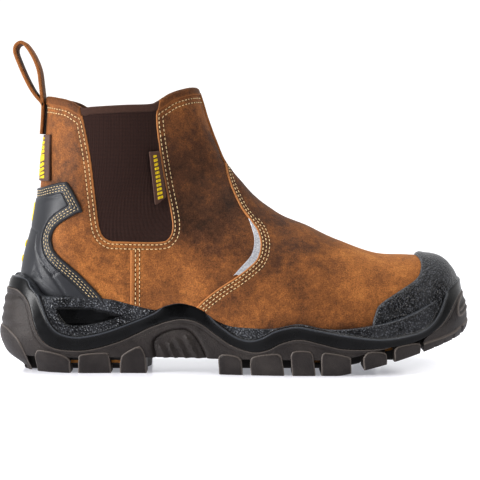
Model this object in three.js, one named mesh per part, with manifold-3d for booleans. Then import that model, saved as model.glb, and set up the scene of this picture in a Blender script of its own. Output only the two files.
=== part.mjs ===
// Side gore work boot, right foot, shown from its outer side.
// Millimetres. +X runs to the toe, +Z is up and -Y is the outer side of the foot.
import * as THREE from "three";
import { mergeVertices } from "three/addons/utils/BufferGeometryUtils.js";
import Module from "manifold-3d";

const wasm = await Module();
wasm.setup();

// Driving dimensions
const LENGTH = 320;
const BALL_WIDTH = 102;
const SOLE_MARGIN = 5;
const SOLE_WIDTH = BALL_WIDTH + 2 * SOLE_MARGIN;
const INSTEP_HEIGHT = 112;
const SHAFT_HEIGHT = 53;
const HEEL_HEIGHT = 30;
const BALL_HEIGHT = 17;
const TOE_SPRING = 24;
const TOE_SWING = 7.5;
const TREAD_DEPTH = 13.5;
const TREAD_FLOOR = 1.8;
const WALL = 2.4;
const GAP = 0.3;
const VAMP_STEP = 1.2;
const TRIM_STEP = 0.8;
const CAP_THICKNESS = 1.7;
const COUNTER_THICKNESS = 1.7;
const GORE_THICKNESS = 1.7;
const GORE_RECESS = 0.4;
const INSOLE_THICKNESS = 3.5;
const COLLAR_FOLD = 5.5;
const SEAM_WIDTH = 3;
const PANEL_RECESS = 1.5;
const WINDOW_RECESS = 1.6;
const RIB_HEIGHT = 1;
const LOOP_HEIGHT = 42;
const STRAP_WIDTH = 19;
const STRAP_THICKNESS = 2.2;
const TAG_THICKNESS = 0.9;
const REAR_TAG_DEPTH = 8.5;
const REAR_TAG_HEIGHT = 31;
const REAR_TAG_GAP = 5;
const STRIP_THICKNESS = 0.6;
const STUD_RADIUS = 2.6;
const STUD_HEIGHT = 1.4;
const STUD_RISES = [17.8, 7.8];
const BADGE_WIDTH = 8;
const BADGE_HEIGHT = 13;
const BADGE_THICKNESS = 0.7;
const BADGE_DROP = 10;
const CHANNEL_WIDTH = 5;
const CENTRE_GROOVE = 4.5;
const GROOVE_YAW = 0.16;
const NOTCH_WIDTH = 2.5;
const NOTCH_DEPTH = 2;
const ARCH_RIB_WIDTH = 4;
const POD_LENGTH = 9;
const POD_HEIGHT = 8;

// Fineness of the facets
const SECTIONS = 29;
const RING_POINTS = 20;
const SOLE_STATIONS = 15;
const BED_STATIONS = 16;
const FAR = 400;

function table(columns, rows) {
  return rows.map((row) => Object.fromEntries(columns.map((name, i) => [name, row[i]])));
}

// The upper's sections fan from the toe, under the foot and round the heel, to the collar.
// back and front are the two ends of a section. X is a share of LENGTH and H a height over the
// footbed, in instep heights up to 1 and in shaft heights above it. outer, inner and line (the
// sideways place of the section's middle) are shares of half the ball width, line of TOE_SWING.
// mid is where the section is widest, and low and top are the fullness of its two ends.
const UPPER = table(
  ["backX", "backH", "frontX", "frontH", "outer", "inner", "line", "mid", "low", "top"],
  [
    [0.972, 0.111, 0.972, 0.129, 0.03, 0.03, 1.02, 0.45, 2.0, 2.0],
    [0.968, 0.010, 0.970, 0.255, 0.29, 0.29, 1.02, 0.43, 2.1, 2.1],
    [0.956, -0.056, 0.957, 0.345, 0.50, 0.49, 0.88, 0.40, 2.4, 2.3],
    [0.923, -0.090, 0.929, 0.420, 0.70, 0.68, 0.75, 0.36, 2.8, 2.4],
    [0.870, -0.100, 0.870, 0.458, 0.84, 0.83, 0.54, 0.33, 3.0, 2.4],
    [0.800, -0.095, 0.800, 0.498, 0.93, 0.92, 0.27, 0.31, 3.0, 2.3],
    [0.713, -0.089, 0.722, 0.601, 0.98, 0.97, 0.07, 0.30, 3.0, 2.1],
    [0.616, -0.089, 0.650, 0.698, 0.99, 0.96, -0.07, 0.29, 3.0, 1.95],
    [0.516, -0.095, 0.586, 0.771, 0.95, 0.90, -0.14, 0.29, 3.0, 1.85],
    [0.409, -0.089, 0.541, 0.850, 0.87, 0.81, -0.14, 0.29, 2.9, 1.85],
    [0.303, -0.093, 0.511, 0.931, 0.79, 0.75, -0.07, 0.30, 2.8, 1.9],
    [0.197, -0.089, 0.489, 0.996, 0.75, 0.73, 0, 0.32, 2.7, 1.9],
    [0.113, -0.054, 0.475, 1.100, 0.73, 0.72, 0, 0.34, 2.6, 1.95],
    [0.066, 0.071, 0.467, 1.196, 0.72, 0.71, 0, 0.37, 2.4, 2.0],
    [0.050, 0.241, 0.461, 1.284, 0.71, 0.71, 0, 0.40, 2.3, 2.0],
    [0.057, 0.411, 0.454, 1.383, 0.71, 0.71, 0, 0.42, 2.2, 2.0],
    [0.072, 0.567, 0.447, 1.490, 0.72, 0.72, 0, 0.44, 2.2, 2.05],
    [0.083, 0.741, 0.439, 1.619, 0.74, 0.73, 0, 0.45, 2.15, 2.1],
    [0.089, 0.929, 0.431, 1.776, 0.76, 0.75, 0, 0.46, 2.1, 2.1],
    [0.098, 1.302, 0.421, 1.954, 0.77, 0.76, 0, 0.46, 2.1, 2.1],
    [0.102, 1.717, 0.412, 2.125, 0.78, 0.77, 0, 0.46, 2.1, 2.1],
    [0.100, 2.094, 0.403, 2.287, 0.78, 0.77, 0, 0.46, 2.1, 2.1],
  ],
);

// Edges of the upper's panels, seen from the side
const COLLAR_EDGE = table(["x", "h"], [
  [0, 1.79], [0.09, 1.79], [0.132, 1.757], [0.16, 1.714], [0.187, 1.627], [0.205, 1.64],
  [0.274, 1.664], [0.325, 1.686], [0.342, 1.731], [0.367, 1.846], [0.398, 1.937], [0.422, 1.975],
  [0.47, 2.0],
]);
const GORE_EDGE = table(["x", "h"], [
  [0.182, 1.75], [0.184, 1.6], [0.202, 1.043], [0.214, 0.726], [0.222, 0.575], [0.238, 0.52],
  [0.262, 0.511], [0.342, 0.516], [0.362, 0.54], [0.37, 0.595], [0.368, 0.68], [0.354, 0.885],
  [0.343, 1.2], [0.338, 1.517], [0.342, 1.692], [0.345, 1.8],
]);
const VAMP_EDGE = table(["x", "h"], [
  [0.472, 1.2], [0.478, 1.074], [0.488, 0.921], [0.511, 0.789], [0.532, 0.715], [0.547, 0.655],
  [0.553, 0.58], [0.546, 0.5], [0.527, 0.439], [0.501, 0.373], [0.459, 0.275], [0.42, 0.157],
  [0.40, 0.02],
]);
const STRIPE_EDGE = table(["x", "h"], [
  [0.507, 0.84], [0.523, 0.745], [0.536, 0.638], [0.537, 0.58], [0.531, 0.518], [0.511, 0.445],
  [0.492, 0.377],
]);
const CAP_EDGE = table(["x", "h"], [
  [0.778, -0.01], [0.782, 0.122], [0.787, 0.173], [0.798, 0.23], [0.842, 0.289], [0.878, 0.337],
  [0.89, 0.394], [0.889, 0.44], [0.877, 0.481], [0.875, 0.611],
]);
const COUNTER_EDGE = table(["x", "h"], [
  [0.02, 0.815], [0.085, 0.819], [0.117, 0.842], [0.146, 0.86], [0.158, 0.842], [0.185, 0.694],
  [0.174, 0.676], [0.137, 0.611], [0.122, 0.557], [0.12, 0.498], [0.132, 0.432], [0.178, 0.319],
  [0.219, 0.2], [0.236, 0.13],
]);
const PIPING = { from: 0.35, to: 0.6 };
const SIDE_SEAM = table(["x", "h"], [[0.288, 0.53], [0.288, 0.08]]);
const SIDE_TAG = table(["x", "h"], [[0.322, 1.094], [0.334, 0.732], [0.360, 0.751], [0.343, 1.111]]);

// The sole's outline from below: half widths as shares of half SOLE_WIDTH
const SOLE_PLAN = table(["x", "outer", "inner"], [
  [0, 0.76, 0.76], [0.15, 0.76, 0.76], [0.3, 0.75, 0.75], [0.42, 0.82, 0.77], [0.54, 0.95, 0.85],
  [0.65, 1.01, 0.97], [0.75, 1.0, 1.01], [0.86, 0.97, 0.95], [1, 0.95, 0.90],
]);
// Where the tread starts to rise to the toe, how fast, where the toe swings inwards, and where the
// footbed leaves the heel and reaches the ball, and its share of the toe's rise
const SPRING = { from: 0.7125, reach: 0.278, power: 1.15 };
const SWING_FROM = 0.76;
const BED = { heel: 0.281, ball: 0.656, spring: 0.5 };

const HEEL_ROUND = { reach: 0.14, fullness: 2.2 };
const TOE_ROUND = { reach: 0.2, fullness: 2.2 };

// The sole's outline at each height, as shares of HEEL_HEIGHT, drawn in at the side, back and toe
const SOLE_LEVELS = table(["s", "side", "back", "toe"], [
  [0, 0.10, 0.57, 0.11], [0.12, 0.07, 0.50, 0.03], [0.34, 0.03, 0.20, 0], [0.55, 0.01, 0.07, 0.03],
  [0.8, 0, 0, 0.085], [1.05, 0, 0.035, 0.16], [1.5, 0.05, 0.10, 0.22], [1.8, 0.11, 0.17, 0.25],
  [2.05, 0.17, 0.24, 0.3], [2.25, 0.24, 0.40, 0.4],
]);

// Edges of the sole's parts from the side: x share of LENGTH, s share of HEEL_HEIGHT over the tread
const MIDSOLE_TOP = table(["x", "s"], [
  [-0.02, 2.03], [0.02, 2.043], [0.036, 2.16], [0.055, 2.18], [0.079, 1.919], [0.095, 1.73],
  [0.141, 1.699], [0.235, 1.655], [0.29, 1.52], [0.336, 1.424], [0.36, 1.51], [0.39, 1.567],
  [0.429, 1.457], [0.459, 1.237], [0.491, 1.1], [0.54, 1.035], [0.58, 1.04], [0.63, 1.141],
  [0.68, 1.035], [0.72, 1.0], [0.78, 0.928], [0.842, 0.897], [0.903, 0.982], [0.96, 1.198],
  [1.02, 1.323],
]);
const WAVE = table(["x", "s"], [
  [-0.02, 1.80], [0.035, 1.84], [0.056, 1.74], [0.07, 1.58], [0.077, 1.38], [0.085, 1.06],
  [0.099, 0.765], [0.12, 0.588], [0.15, 0.52], [0.2, 0.53], [0.263, 0.721], [0.33, 1.05],
  [0.377, 1.207], [0.41, 1.2], [0.435, 1.09], [0.462, 0.88], [0.493, 0.66], [0.535, 0.519],
  [0.565, 0.563], [0.597, 0.73], [0.633, 0.81], [0.674, 0.716], [0.72, 0.587], [0.776, 0.44],
  [0.83, 0.33], [0.87, 0.29], [0.9, 0.33], [0.928, 0.44], [0.947, 0.61], [0.963, 0.827], [0.98, 0.952],
  [1.02, 1.02],
]);
const BAND_TOP = table(["x", "s"], [
  [-0.02, 2.09], [0.06, 2.09], [0.078, 1.892], [0.094, 1.72], [0.103, 1.494], [0.115, 1.185],
  [0.133, 0.942], [0.16, 0.831], [0.191, 0.831], [0.243, 0.964], [0.33, 1.33], [0.37, 1.62],
  [0.43, 1.52], [0.458, 1.2], [0.482, 1.0], [0.505, 0.843], [0.531, 0.777], [0.556, 0.843],
  [0.584, 1.0], [0.625, 1.09], [0.665, 1.02], [0.73, 0.857], [0.8, 0.6], [0.86, 0.5], [0.888, 0.5],
  [0.91, 0.6], [0.926, 0.8], [0.938, 1.049], [0.945, 1.189], [0.975, 1.35], [1.02, 1.4],
]);
const HEEL_WINDOW = table(["x", "s"], [
  [0.128, 1.466], [0.136, 1.501], [0.204, 1.472], [0.238, 1.393], [0.276, 1.296], [0.255, 1.2],
  [0.221, 1.097], [0.187, 1.03], [0.161, 1.03], [0.146, 1.097], [0.132, 1.3],
]);
const ARCH_PANEL = table(["x", "s"], [
  [0.338, 0.36], [0.33, 0.7], [0.356, 0.93], [0.387, 1.0], [0.408, 0.95], [0.43, 0.64], [0.444, 0.36],
]);
const ARCH_FLOOR = { from: 0.337, to: 0.452, s: 0.3 };
const ARCH_RIBS = table(["x", "lean"], [[0.352, 0.35], [0.373, 0.4], [0.395, 0.45], [0.416, 0.5]]);
const BACK_RIBS = { count: 4, from: 1.07, to: 1.74, width: 0.11, reach: 0.05 };
// The lugs from heel to toe. pod is 1 where an amber pod shows in the groove ahead of the lug.
const LUGS = table(["from", "to", "pod"], [
  [-0.02, 0.068, 0], [0.086, 0.156, 1], [0.178, 0.24, 1], [0.263, 0.317, 0], [0.466, 0.513, 0],
  [0.533, 0.594, 0], [0.615, 0.662, 1], [0.678, 0.737, 0], [0.763, 0.808, 1], [0.826, 0.879, 0],
  [0.889, 1.02, 0],
]);
const CHANNEL = 0.36;
const GROOVE_MIDDLE = 0.73;
const POD_PLACE = 0.56;
const TOE_NOTCHES = [0.918, 0.94, 0.961];

// The pull loop's middle line from the side, as shares of LOOP_HEIGHT behind and above its foot
const LOOP_OUT = table(["out", "rise"], [
  [0, -0.05], [0.03, 0.04], [0.11, 0.13], [0.193, 0.25], [0.29, 0.438], [0.386, 0.664],
  [0.448, 0.845], [0.421, 0.952], [0.331, 0.99], [0.238, 0.905],
]);
const LOOP_BACK = table(["out", "rise"], [
  [0.331, 0.99], [0.236, 0.9], [0.136, 0.729], [0.067, 0.533], [0.04, 0.324], [0.02, 0.143], [0, -0.05],
]);

const COLOURS = {
  leather: 0x84532f, elastic: 0x3a2c2a, rubber: 0x22252a, tread: 0x4a4544, trim: 0xe8d53a,
  strip: 0xc8ccd6, tag: 0x6b5348, amber: 0xc98a2b, insole: 0x2b2826, strap: 0x96663a,
};

function blend(a, b, c, d, t) {
  const slopeIn = (c - a) / 2;
  const slopeOut = (d - b) / 2;
  const t2 = t * t;
  const t3 = t2 * t;
  const ends = (2 * t3 - 3 * t2 + 1) * b + (3 * t2 - 2 * t3) * c;
  return ends + (t3 - 2 * t2 + t) * slopeIn + (t3 - t2) * slopeOut;
}

function rowAt(rows, u) {
  const last = rows.length - 1;
  const i = Math.min(Math.floor(u), last - 1);
  const at = (k) => rows[Math.max(0, Math.min(last, k))];
  const row = {};
  for (const name of Object.keys(rows[0])) {
    row[name] = blend(at(i - 1)[name], at(i)[name], at(i + 1)[name], at(i + 2)[name], u - i);
  }
  return row;
}

function smooth(from, to, value) {
  const t = Math.min(1, Math.max(0, (value - from) / (to - from)));
  return t * t * (3 - 2 * t);
}

// Heights along the shoe. x is a place in millimetres.
const share = (x) => x / LENGTH + 0.5;
const place = (s) => (s - 0.5) * LENGTH;
const toeLift = (x) => TOE_SPRING * Math.max(0, (share(x) - SPRING.from) / SPRING.reach) ** SPRING.power;
const toeSwing = (x) => TOE_SWING * smooth(SWING_FROM, 1, share(x));
const bedHeight = (x) => HEEL_HEIGHT + (BALL_HEIGHT - HEEL_HEIGHT) * smooth(BED.heel, BED.ball, share(x))
  + BED.spring * toeLift(x);
const overBed = (x, h) => bedHeight(x) + INSTEP_HEIGHT * Math.min(1, h) + SHAFT_HEIGHT * Math.max(0, h - 1);
const overTread = (x, s) => toeLift(x) + HEEL_HEIGHT * s;
const COLLAR_HEIGHT = overBed(place(0.09), 1.79);
const COUNTER_TOP = overBed(place(0.085), 0.819);
const HEEL_WALL_TOP = overTread(place(0), Math.max(...MIDSOLE_TOP.map((row) => row.s)));

// A point of the last, u rows along the fan and at an angle round the section, from its back end
function lastPoint(u, angle) {
  const row = rowAt(UPPER, Math.max(0, Math.min(UPPER.length - 1, u)));
  const back = new THREE.Vector3(place(row.backX), 0, overBed(place(row.backX), row.backH));
  const front = new THREE.Vector3(place(row.frontX), 0, overBed(place(row.frontX), row.frontH));
  const lean = Math.cos(angle);
  const spread = Math.sin(angle);
  const fullness = lean > 0 ? row.low : row.top;
  const reach = Math.abs(lean) ** (2 / fullness);
  const t = lean > 0 ? row.mid * (1 - reach) : row.mid + (1 - row.mid) * reach;
  const half = (BALL_WIDTH / 2) * (spread > 0 ? row.outer : row.inner);
  const point = back.lerp(front, t);
  point.y = TOE_SWING * row.line - Math.sign(spread) * half * Math.abs(spread) ** (2 / fullness);
  return point;
}

function lastNormal(u, angle) {
  const near = 0.02;
  const along = lastPoint(u + near, angle).sub(lastPoint(u - near, angle));
  const round = lastPoint(u, angle + near).sub(lastPoint(u, angle - near));
  return round.cross(along).normalize();
}

function toSolid(geometry) {
  const bare = geometry.index ? geometry.toNonIndexed() : geometry.clone();
  bare.deleteAttribute("normal");
  bare.deleteAttribute("uv");
  const merged = mergeVertices(bare, 1e-4);
  const vertProperties = new Float32Array(merged.attributes.position.array);
  const triVerts = new Uint32Array(merged.index.array);
  return new wasm.Manifold(new wasm.Mesh({ numProp: 3, vertProperties, triVerts }));
}

function toGeometry(solid) {
  const mesh = solid.getMesh();
  const geometry = new THREE.BufferGeometry();
  geometry.setAttribute("position", new THREE.BufferAttribute(new Float32Array(mesh.vertProperties), 3));
  geometry.setIndex(new THREE.BufferAttribute(new Uint32Array(mesh.triVerts), 1));
  return geometry;
}

function join(solids) {
  return solids.reduce((sum, next) => sum.add(next));
}

function meshOf(points, triangles) {
  const geometry = new THREE.BufferGeometry();
  const numbers = points.flatMap((p) => [p.x, p.y, p.z]);
  geometry.setAttribute("position", new THREE.Float32BufferAttribute(numbers, 3));
  geometry.setIndex(triangles);
  return geometry;
}

// Rings of equal count joined into one closed body, each end closed to its own middle point
function loftRings(rings) {
  const count = rings[0].length;
  const points = rings.flat();
  const triangles = [];
  for (let r = 0; r < rings.length - 1; r += 1) {
    for (let k = 0; k < count; k += 1) {
      const a = r * count + k;
      const b = r * count + ((k + 1) % count);
      triangles.push(a, b, a + count, b, b + count, a + count);
    }
  }
  for (const end of [0, rings.length - 1]) {
    const ring = rings[end];
    const middle = ring.reduce((sum, p) => sum.add(p), new THREE.Vector3()).divideScalar(count);
    points.push(middle);
    for (let k = 0; k < count; k += 1) {
      const a = end * count + k;
      const b = end * count + ((k + 1) % count);
      triangles.push(...(end === 0 ? [b, a, points.length - 1] : [a, b, points.length - 1]));
    }
  }
  return meshOf(points, triangles);
}

const lastCache = new Map();

// The last, grown outwards by offset millimetres (inwards where it is negative)
function last(offset) {
  if (!lastCache.has(offset)) {
    const rings = [];
    for (let i = 0; i <= SECTIONS; i += 1) {
      const u = ((UPPER.length - 1) * i) / SECTIONS;
      const ring = [];
      for (let k = 0; k < RING_POINTS; k += 1) {
        const angle = (2 * Math.PI * k) / RING_POINTS;
        ring.push(lastPoint(u, angle).addScaledVector(lastNormal(u, angle), offset));
      }
      rings.push(ring);
    }
    lastCache.set(offset, toSolid(loftRings(rings)));
  }
  return lastCache.get(offset);
}

function roundEnd(distance, reach, fullness) {
  const t = Math.min(1, Math.max(0, distance / reach));
  return (1 - (1 - t) ** fullness) ** (1 / fullness);
}

// Half width of the sole on one side at x, for an outline that runs from back to toe
function soleHalf(side, x, back, toe, inset) {
  const rows = SOLE_PLAN;
  let i = 0;
  while (i < rows.length - 2 && share(x) > rows[i + 1].x) i += 1;
  const t = (share(x) - rows[i].x) / (rows[i + 1].x - rows[i].x);
  const at = (k) => rows[Math.max(0, Math.min(rows.length - 1, k))][side];
  const width = Math.min(1, blend(at(i - 1), at(i), at(i + 1), at(i + 2), Math.min(1, Math.max(0, t))));
  const heel = roundEnd(x - back, HEEL_ROUND.reach * LENGTH, HEEL_ROUND.fullness);
  const front = roundEnd(toe - x, TOE_ROUND.reach * LENGTH, TOE_ROUND.fullness);
  return ((SOLE_WIDTH / 2) * width - inset) * heel * front;
}

const soleCache = new Map();

// The whole sole block, drawn in by inset millimetres all round
function soleBlock(inset) {
  if (!soleCache.has(inset)) {
    const points = [];
    const count = SOLE_STATIONS * 2;
    for (const level of SOLE_LEVELS) {
      const back = -LENGTH / 2 + HEEL_HEIGHT * level.back + inset;
      const toe = LENGTH / 2 - HEEL_HEIGHT * level.toe - inset;
      const drawn = HEEL_HEIGHT * level.side + inset;
      for (let k = 0; k < count; k += 1) {
        const x = back + ((toe - back) * (1 - Math.cos((Math.PI * k) / SOLE_STATIONS))) / 2;
        const side = k <= SOLE_STATIONS ? "outer" : "inner";
        const half = soleHalf(side, x, back, toe, drawn);
        const y = k % SOLE_STATIONS === 0 ? 0 : half * (side === "outer" ? -1 : 1);
        points.push(new THREE.Vector3(x, y + toeSwing(x), overTread(x, level.s)));
      }
    }
    const triangles = [];
    for (let r = 0; r < SOLE_LEVELS.length - 1; r += 1) {
      for (let k = 0; k < count; k += 1) {
        const a = r * count + k;
        const b = r * count + ((k + 1) % count);
        triangles.push(a, b, a + count, b, b + count, a + count);
      }
    }
    const top = (SOLE_LEVELS.length - 1) * count;
    for (let k = 0; k < SOLE_STATIONS; k += 1) {
      const far = (count - k) % count;
      const next = count - k - 1;
      triangles.push(k, far, k + 1, k + 1, far, next);
      triangles.push(top + k, top + k + 1, top + far, top + k + 1, top + next, top + far);
    }
    soleCache.set(inset, toSolid(meshOf(points, triangles)));
  }
  return soleCache.get(inset);
}

// A smooth line through table rows, as points seen from the side
function sideLine(rows, steps = 1) {
  const points = rows.map((row) => {
    const x = place(row.x);
    return new THREE.Vector2(x, row.h === undefined ? overTread(x, row.s) : overBed(x, row.h));
  });
  return new THREE.SplineCurve(points).getPoints((points.length - 1) * steps);
}

// A side line moved to its left by distance
function shiftLine(points, distance, closed = false) {
  const count = points.length;
  return points.map((point, i) => {
    const before = points[closed ? (i + count - 1) % count : Math.max(0, i - 1)];
    const after = points[closed ? (i + 1) % count : Math.min(count - 1, i + 1)];
    const along = after.clone().sub(before).normalize();
    return new THREE.Vector2(point.x - along.y * distance, point.y + along.x * distance);
  });
}

// A closed outline seen from the side, as a slab from yFrom to yTo
function slab(points, yFrom = -FAR / 2, yTo = FAR / 2) {
  const shape = new THREE.Shape(points);
  const geometry = new THREE.ExtrudeGeometry(shape, { depth: yTo - yFrom, bevelEnabled: false });
  geometry.rotateX(Math.PI / 2);
  geometry.translate(0, yTo, 0);
  return toSolid(geometry);
}

const corner = (x, z) => new THREE.Vector2(x, z);
const above = (line) => slab([corner(-FAR, FAR), corner(-FAR, line[0].y), ...line,
  corner(FAR, line.at(-1).y), corner(FAR, FAR)]);
const below = (line) => slab([corner(-FAR, -FAR), corner(-FAR, line[0].y), ...line,
  corner(FAR, line.at(-1).y), corner(FAR, -FAR)]);

function bedLine(rise) {
  const points = [];
  for (let i = 0; i <= BED_STATIONS; i += 1) {
    const x = place(1.04 * (i / BED_STATIONS) - 0.02);
    points.push(corner(x, bedHeight(x) + rise));
  }
  return points;
}

const collarLine = sideLine(COLLAR_EDGE);
const goreLine = sideLine(GORE_EDGE);
const midsoleLine = sideLine(MIDSOLE_TOP);
const waveLine = sideLine(WAVE);
const aboveBed = above(bedLine(0));
const OUTER = WALL + GAP;

function addMesh(group, name, solid, colour, roughness, metalness = 0) {
  const material = new THREE.MeshStandardMaterial({ color: colour, roughness, metalness });
  const mesh = new THREE.Mesh(toGeometry(solid), material);
  mesh.name = name;
  group.add(mesh);
}

// The region in front of the vamp's edge, or of the cap's, or behind the counter's
function vampRegion(shift) {
  const line = shiftLine(sideLine(VAMP_EDGE), shift);
  return slab([...line, corner(line.at(-1).x, -FAR), corner(FAR, -FAR), corner(FAR, line[0].y)]);
}

function capRegion() {
  const line = sideLine(CAP_EDGE);
  return slab([corner(line[0].x, -FAR), ...line, corner(line.at(-1).x, FAR), corner(FAR, FAR),
    corner(FAR, -FAR)]);
}

function counterRegion() {
  const line = sideLine(COUNTER_EDGE, 2);
  return slab([...line, corner(line.at(-1).x, -FAR), corner(-FAR, -FAR), corner(-FAR, line[0].y)]);
}

function makeUpper() {
  const vamp = last(VAMP_STEP).intersect(vampRegion(0));
  const fold = last(TRIM_STEP).intersect(above(shiftLine(collarLine, -COLLAR_FOLD)));
  const seamRows = SIDE_SEAM.map((row) => corner(place(row.x), overBed(place(row.x), row.h)));
  const half = SEAM_WIDTH / 2;
  const seamBox = slab([
    corner(seamRows[0].x - half, seamRows[0].y), corner(seamRows[1].x - half, seamRows[1].y),
    corner(seamRows[1].x + half, seamRows[1].y), corner(seamRows[0].x + half, seamRows[0].y),
  ]);
  const seam = last(TRIM_STEP).intersect(seamBox).intersect(above(shiftLine(midsoleLine, GAP)));
  const peak = sideLine(VAMP_EDGE)[1];
  const frontBox = slab([corner(place(PIPING.from), peak.y), corner(place(PIPING.to), peak.y),
    corner(place(PIPING.to), FAR), corner(place(PIPING.from), FAR)], -half, half);
  const piping = last(TRIM_STEP).intersect(frontBox);
  return join([last(0), vamp, fold, seam, piping])
    .subtract(last(-WALL))
    .subtract(slab(goreLine))
    .intersect(below(collarLine))
    .intersect(above(bedLine(GAP)));
}

function makeGore(side) {
  const outline = shiftLine(goreLine, GAP, true);
  const half = side < 0 ? slab(outline, -FAR, 0) : slab(outline, 0, FAR);
  const binding = last(0).intersect(above(shiftLine(collarLine, -COLLAR_FOLD)));
  return last(-GORE_RECESS).add(binding)
    .subtract(last(-GORE_RECESS - GORE_THICKNESS))
    .intersect(half)
    .intersect(below(collarLine));
}

function shell(inner, outer, region) {
  return last(outer).subtract(last(inner)).intersect(region);
}

function makeCap() {
  const seat = VAMP_STEP + GAP;
  return shell(seat, seat + CAP_THICKNESS, capRegion()).intersect(above(shiftLine(midsoleLine, GAP)));
}

function makeCounter() {
  return shell(GAP, GAP + COUNTER_THICKNESS, counterRegion()).intersect(above(shiftLine(midsoleLine, GAP)));
}

// The room that the sole leaves for the upper
function cavity() {
  return last(GAP).add(last(VAMP_STEP + GAP).intersect(vampRegion(-GAP))).intersect(aboveBed);
}

function makeMidsole() {
  const bandLine = sideLine(BAND_TOP);
  const panels = soleBlock(PANEL_RECESS).intersect(below(midsoleLine));
  const band = soleBlock(0).intersect(below(midsoleLine)).intersect(below(bandLine));
  const window = soleBlock(-GAP)
    .subtract(soleBlock(PANEL_RECESS + WINDOW_RECESS))
    .intersect(slab(sideLine(HEEL_WINDOW)));
  return panels.add(band)
    .subtract(window)
    .subtract(cavity())
    .intersect(above(shiftLine(waveLine, GAP / 2)));
}

// How deep the tread can be cut at x and leave some of the outsole under the midsole
function treadDepth(x) {
  const next = WAVE.findIndex((row) => row.x > share(x));
  const t = (share(x) - WAVE[next - 1].x) / (WAVE[next].x - WAVE[next - 1].x);
  const wave = HEEL_HEIGHT * (WAVE[next - 1].s + t * (WAVE[next].s - WAVE[next - 1].s));
  return Math.min(TREAD_DEPTH, wave - TREAD_FLOOR);
}

// A block with its middle at x, y, turned by yaw, that cuts the tread up to its depth
function treadBlock(x, y, width, length, yaw, depth = treadDepth(x)) {
  const geometry = new THREE.BoxGeometry(width, length, 2 * depth);
  geometry.rotateZ(yaw);
  geometry.translate(x, y, toeLift(x));
  return toSolid(geometry);
}

function isArch(x) {
  return share(x) > ARCH_FLOOR.from - 0.01 && share(x) < ARCH_FLOOR.to + 0.01;
}

function grooves() {
  return LUGS.slice(1).map((lug, i) => {
    return { from: place(LUGS[i].to), to: place(lug.from), pod: LUGS[i].pod };
  });
}

function grooveMiddle(groove) {
  return (groove.from + groove.to) / 2;
}

function treadCuts() {
  const cuts = [];
  const half = SOLE_WIDTH / 2;
  for (const groove of grooves()) {
    const x = grooveMiddle(groove);
    const width = groove.to - groove.from;
    const length = 2 * half * (GROOVE_MIDDLE - CHANNEL);
    if (!isArch(x)) {
      for (const side of [-1, 1]) {
        cuts.push(treadBlock(x, side * half * GROOVE_MIDDLE, width, length, side * GROOVE_YAW));
      }
    }
  }
  for (const lug of LUGS.slice(1, -1)) {
    const x = place((lug.from + lug.to) / 2);
    cuts.push(treadBlock(x, 0, CENTRE_GROOVE, 2 * half * CHANNEL, 0));
  }
  const runs = [[LUGS[1].from, ARCH_FLOOR.from], [ARCH_FLOOR.to, LUGS.at(-1).from]];
  for (const [from, to] of runs) {
    for (const side of [-1, 1]) {
      const x = place((from + to) / 2);
      cuts.push(treadBlock(x, side * half * CHANNEL, place(to) - place(from), CHANNEL_WIDTH, 0));
    }
  }
  for (const notch of TOE_NOTCHES) {
    cuts.push(treadBlock(place(notch), 0, NOTCH_WIDTH, SOLE_WIDTH, 0, NOTCH_DEPTH));
  }
  return join(cuts);
}

function makeOutsole() {
  const floorLine = [
    corner(place(ARCH_FLOOR.from), -FAR), corner(place(ARCH_FLOOR.from), HEEL_HEIGHT * ARCH_FLOOR.s),
    corner(place(ARCH_FLOOR.to), HEEL_HEIGHT * ARCH_FLOOR.s), corner(place(ARCH_FLOOR.to), -FAR),
  ];
  const panelFloor = soleBlock(-GAP)
    .subtract(soleBlock(2 * PANEL_RECESS))
    .intersect(slab(sideLine(ARCH_PANEL)));
  const ribs = ARCH_RIBS.map((rib) => {
    const x = place(rib.x);
    const foot = HEEL_HEIGHT * ARCH_FLOOR.s;
    const top = HEEL_HEIGHT;
    const lean = rib.lean * (top - foot);
    const far = x + ARCH_RIB_WIDTH;
    return slab([corner(x, foot), corner(far, foot), corner(far - lean, top), corner(x - lean, top)]);
  });
  const backRibs = [];
  for (let k = 0; k < BACK_RIBS.count; k += 1) {
    const z = HEEL_HEIGHT * (BACK_RIBS.from + ((BACK_RIBS.to - BACK_RIBS.from) * k) / (BACK_RIBS.count - 1));
    const reach = place(BACK_RIBS.reach);
    const tall = HEEL_HEIGHT * BACK_RIBS.width;
    backRibs.push(slab([corner(-FAR, z), corner(reach, z), corner(reach, z + tall), corner(-FAR, z + tall)]));
  }
  return soleBlock(0)
    .subtract(panelFloor.subtract(join(ribs)))
    .add(soleBlock(-RIB_HEIGHT).intersect(join(backRibs)))
    .intersect(below(shiftLine(waveLine, -GAP / 2)))
    .subtract(cavity())
    .subtract(slab(floorLine))
    .subtract(treadCuts());
}

function makeInsole() {
  return last(-OUTER).intersect(above(bedLine(GAP))).intersect(below(bedLine(GAP + INSOLE_THICKNESS)));
}

// The last's back middle at a height: the place along the fan whose back end stands there
function backAt(height) {
  let low = UPPER.findIndex((row) => row.backX === Math.min(...UPPER.map((r) => r.backX)));
  let high = UPPER.length - 1;
  while (high - low > 0.001) {
    const middle = (low + high) / 2;
    if (lastPoint(middle, 0).z < height) low = middle;
    else high = middle;
  }
  return { point: lastPoint(low, 0), normal: lastNormal(low, 0) };
}

// A strip of the strap's thickness along a side line
function ribbon(rows, foot) {
  const line = rows.map((row) => corner(foot.x - LOOP_HEIGHT * row.out, foot.y + LOOP_HEIGHT * row.rise));
  const curve = new THREE.SplineCurve(line).getPoints(Math.round(line.length * 1.5));
  const half = STRAP_THICKNESS / 2;
  const outline = [...shiftLine(curve, half), ...shiftLine(curve, -half).reverse()];
  return slab(outline, -STRAP_WIDTH / 2, STRAP_WIDTH / 2);
}

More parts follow.
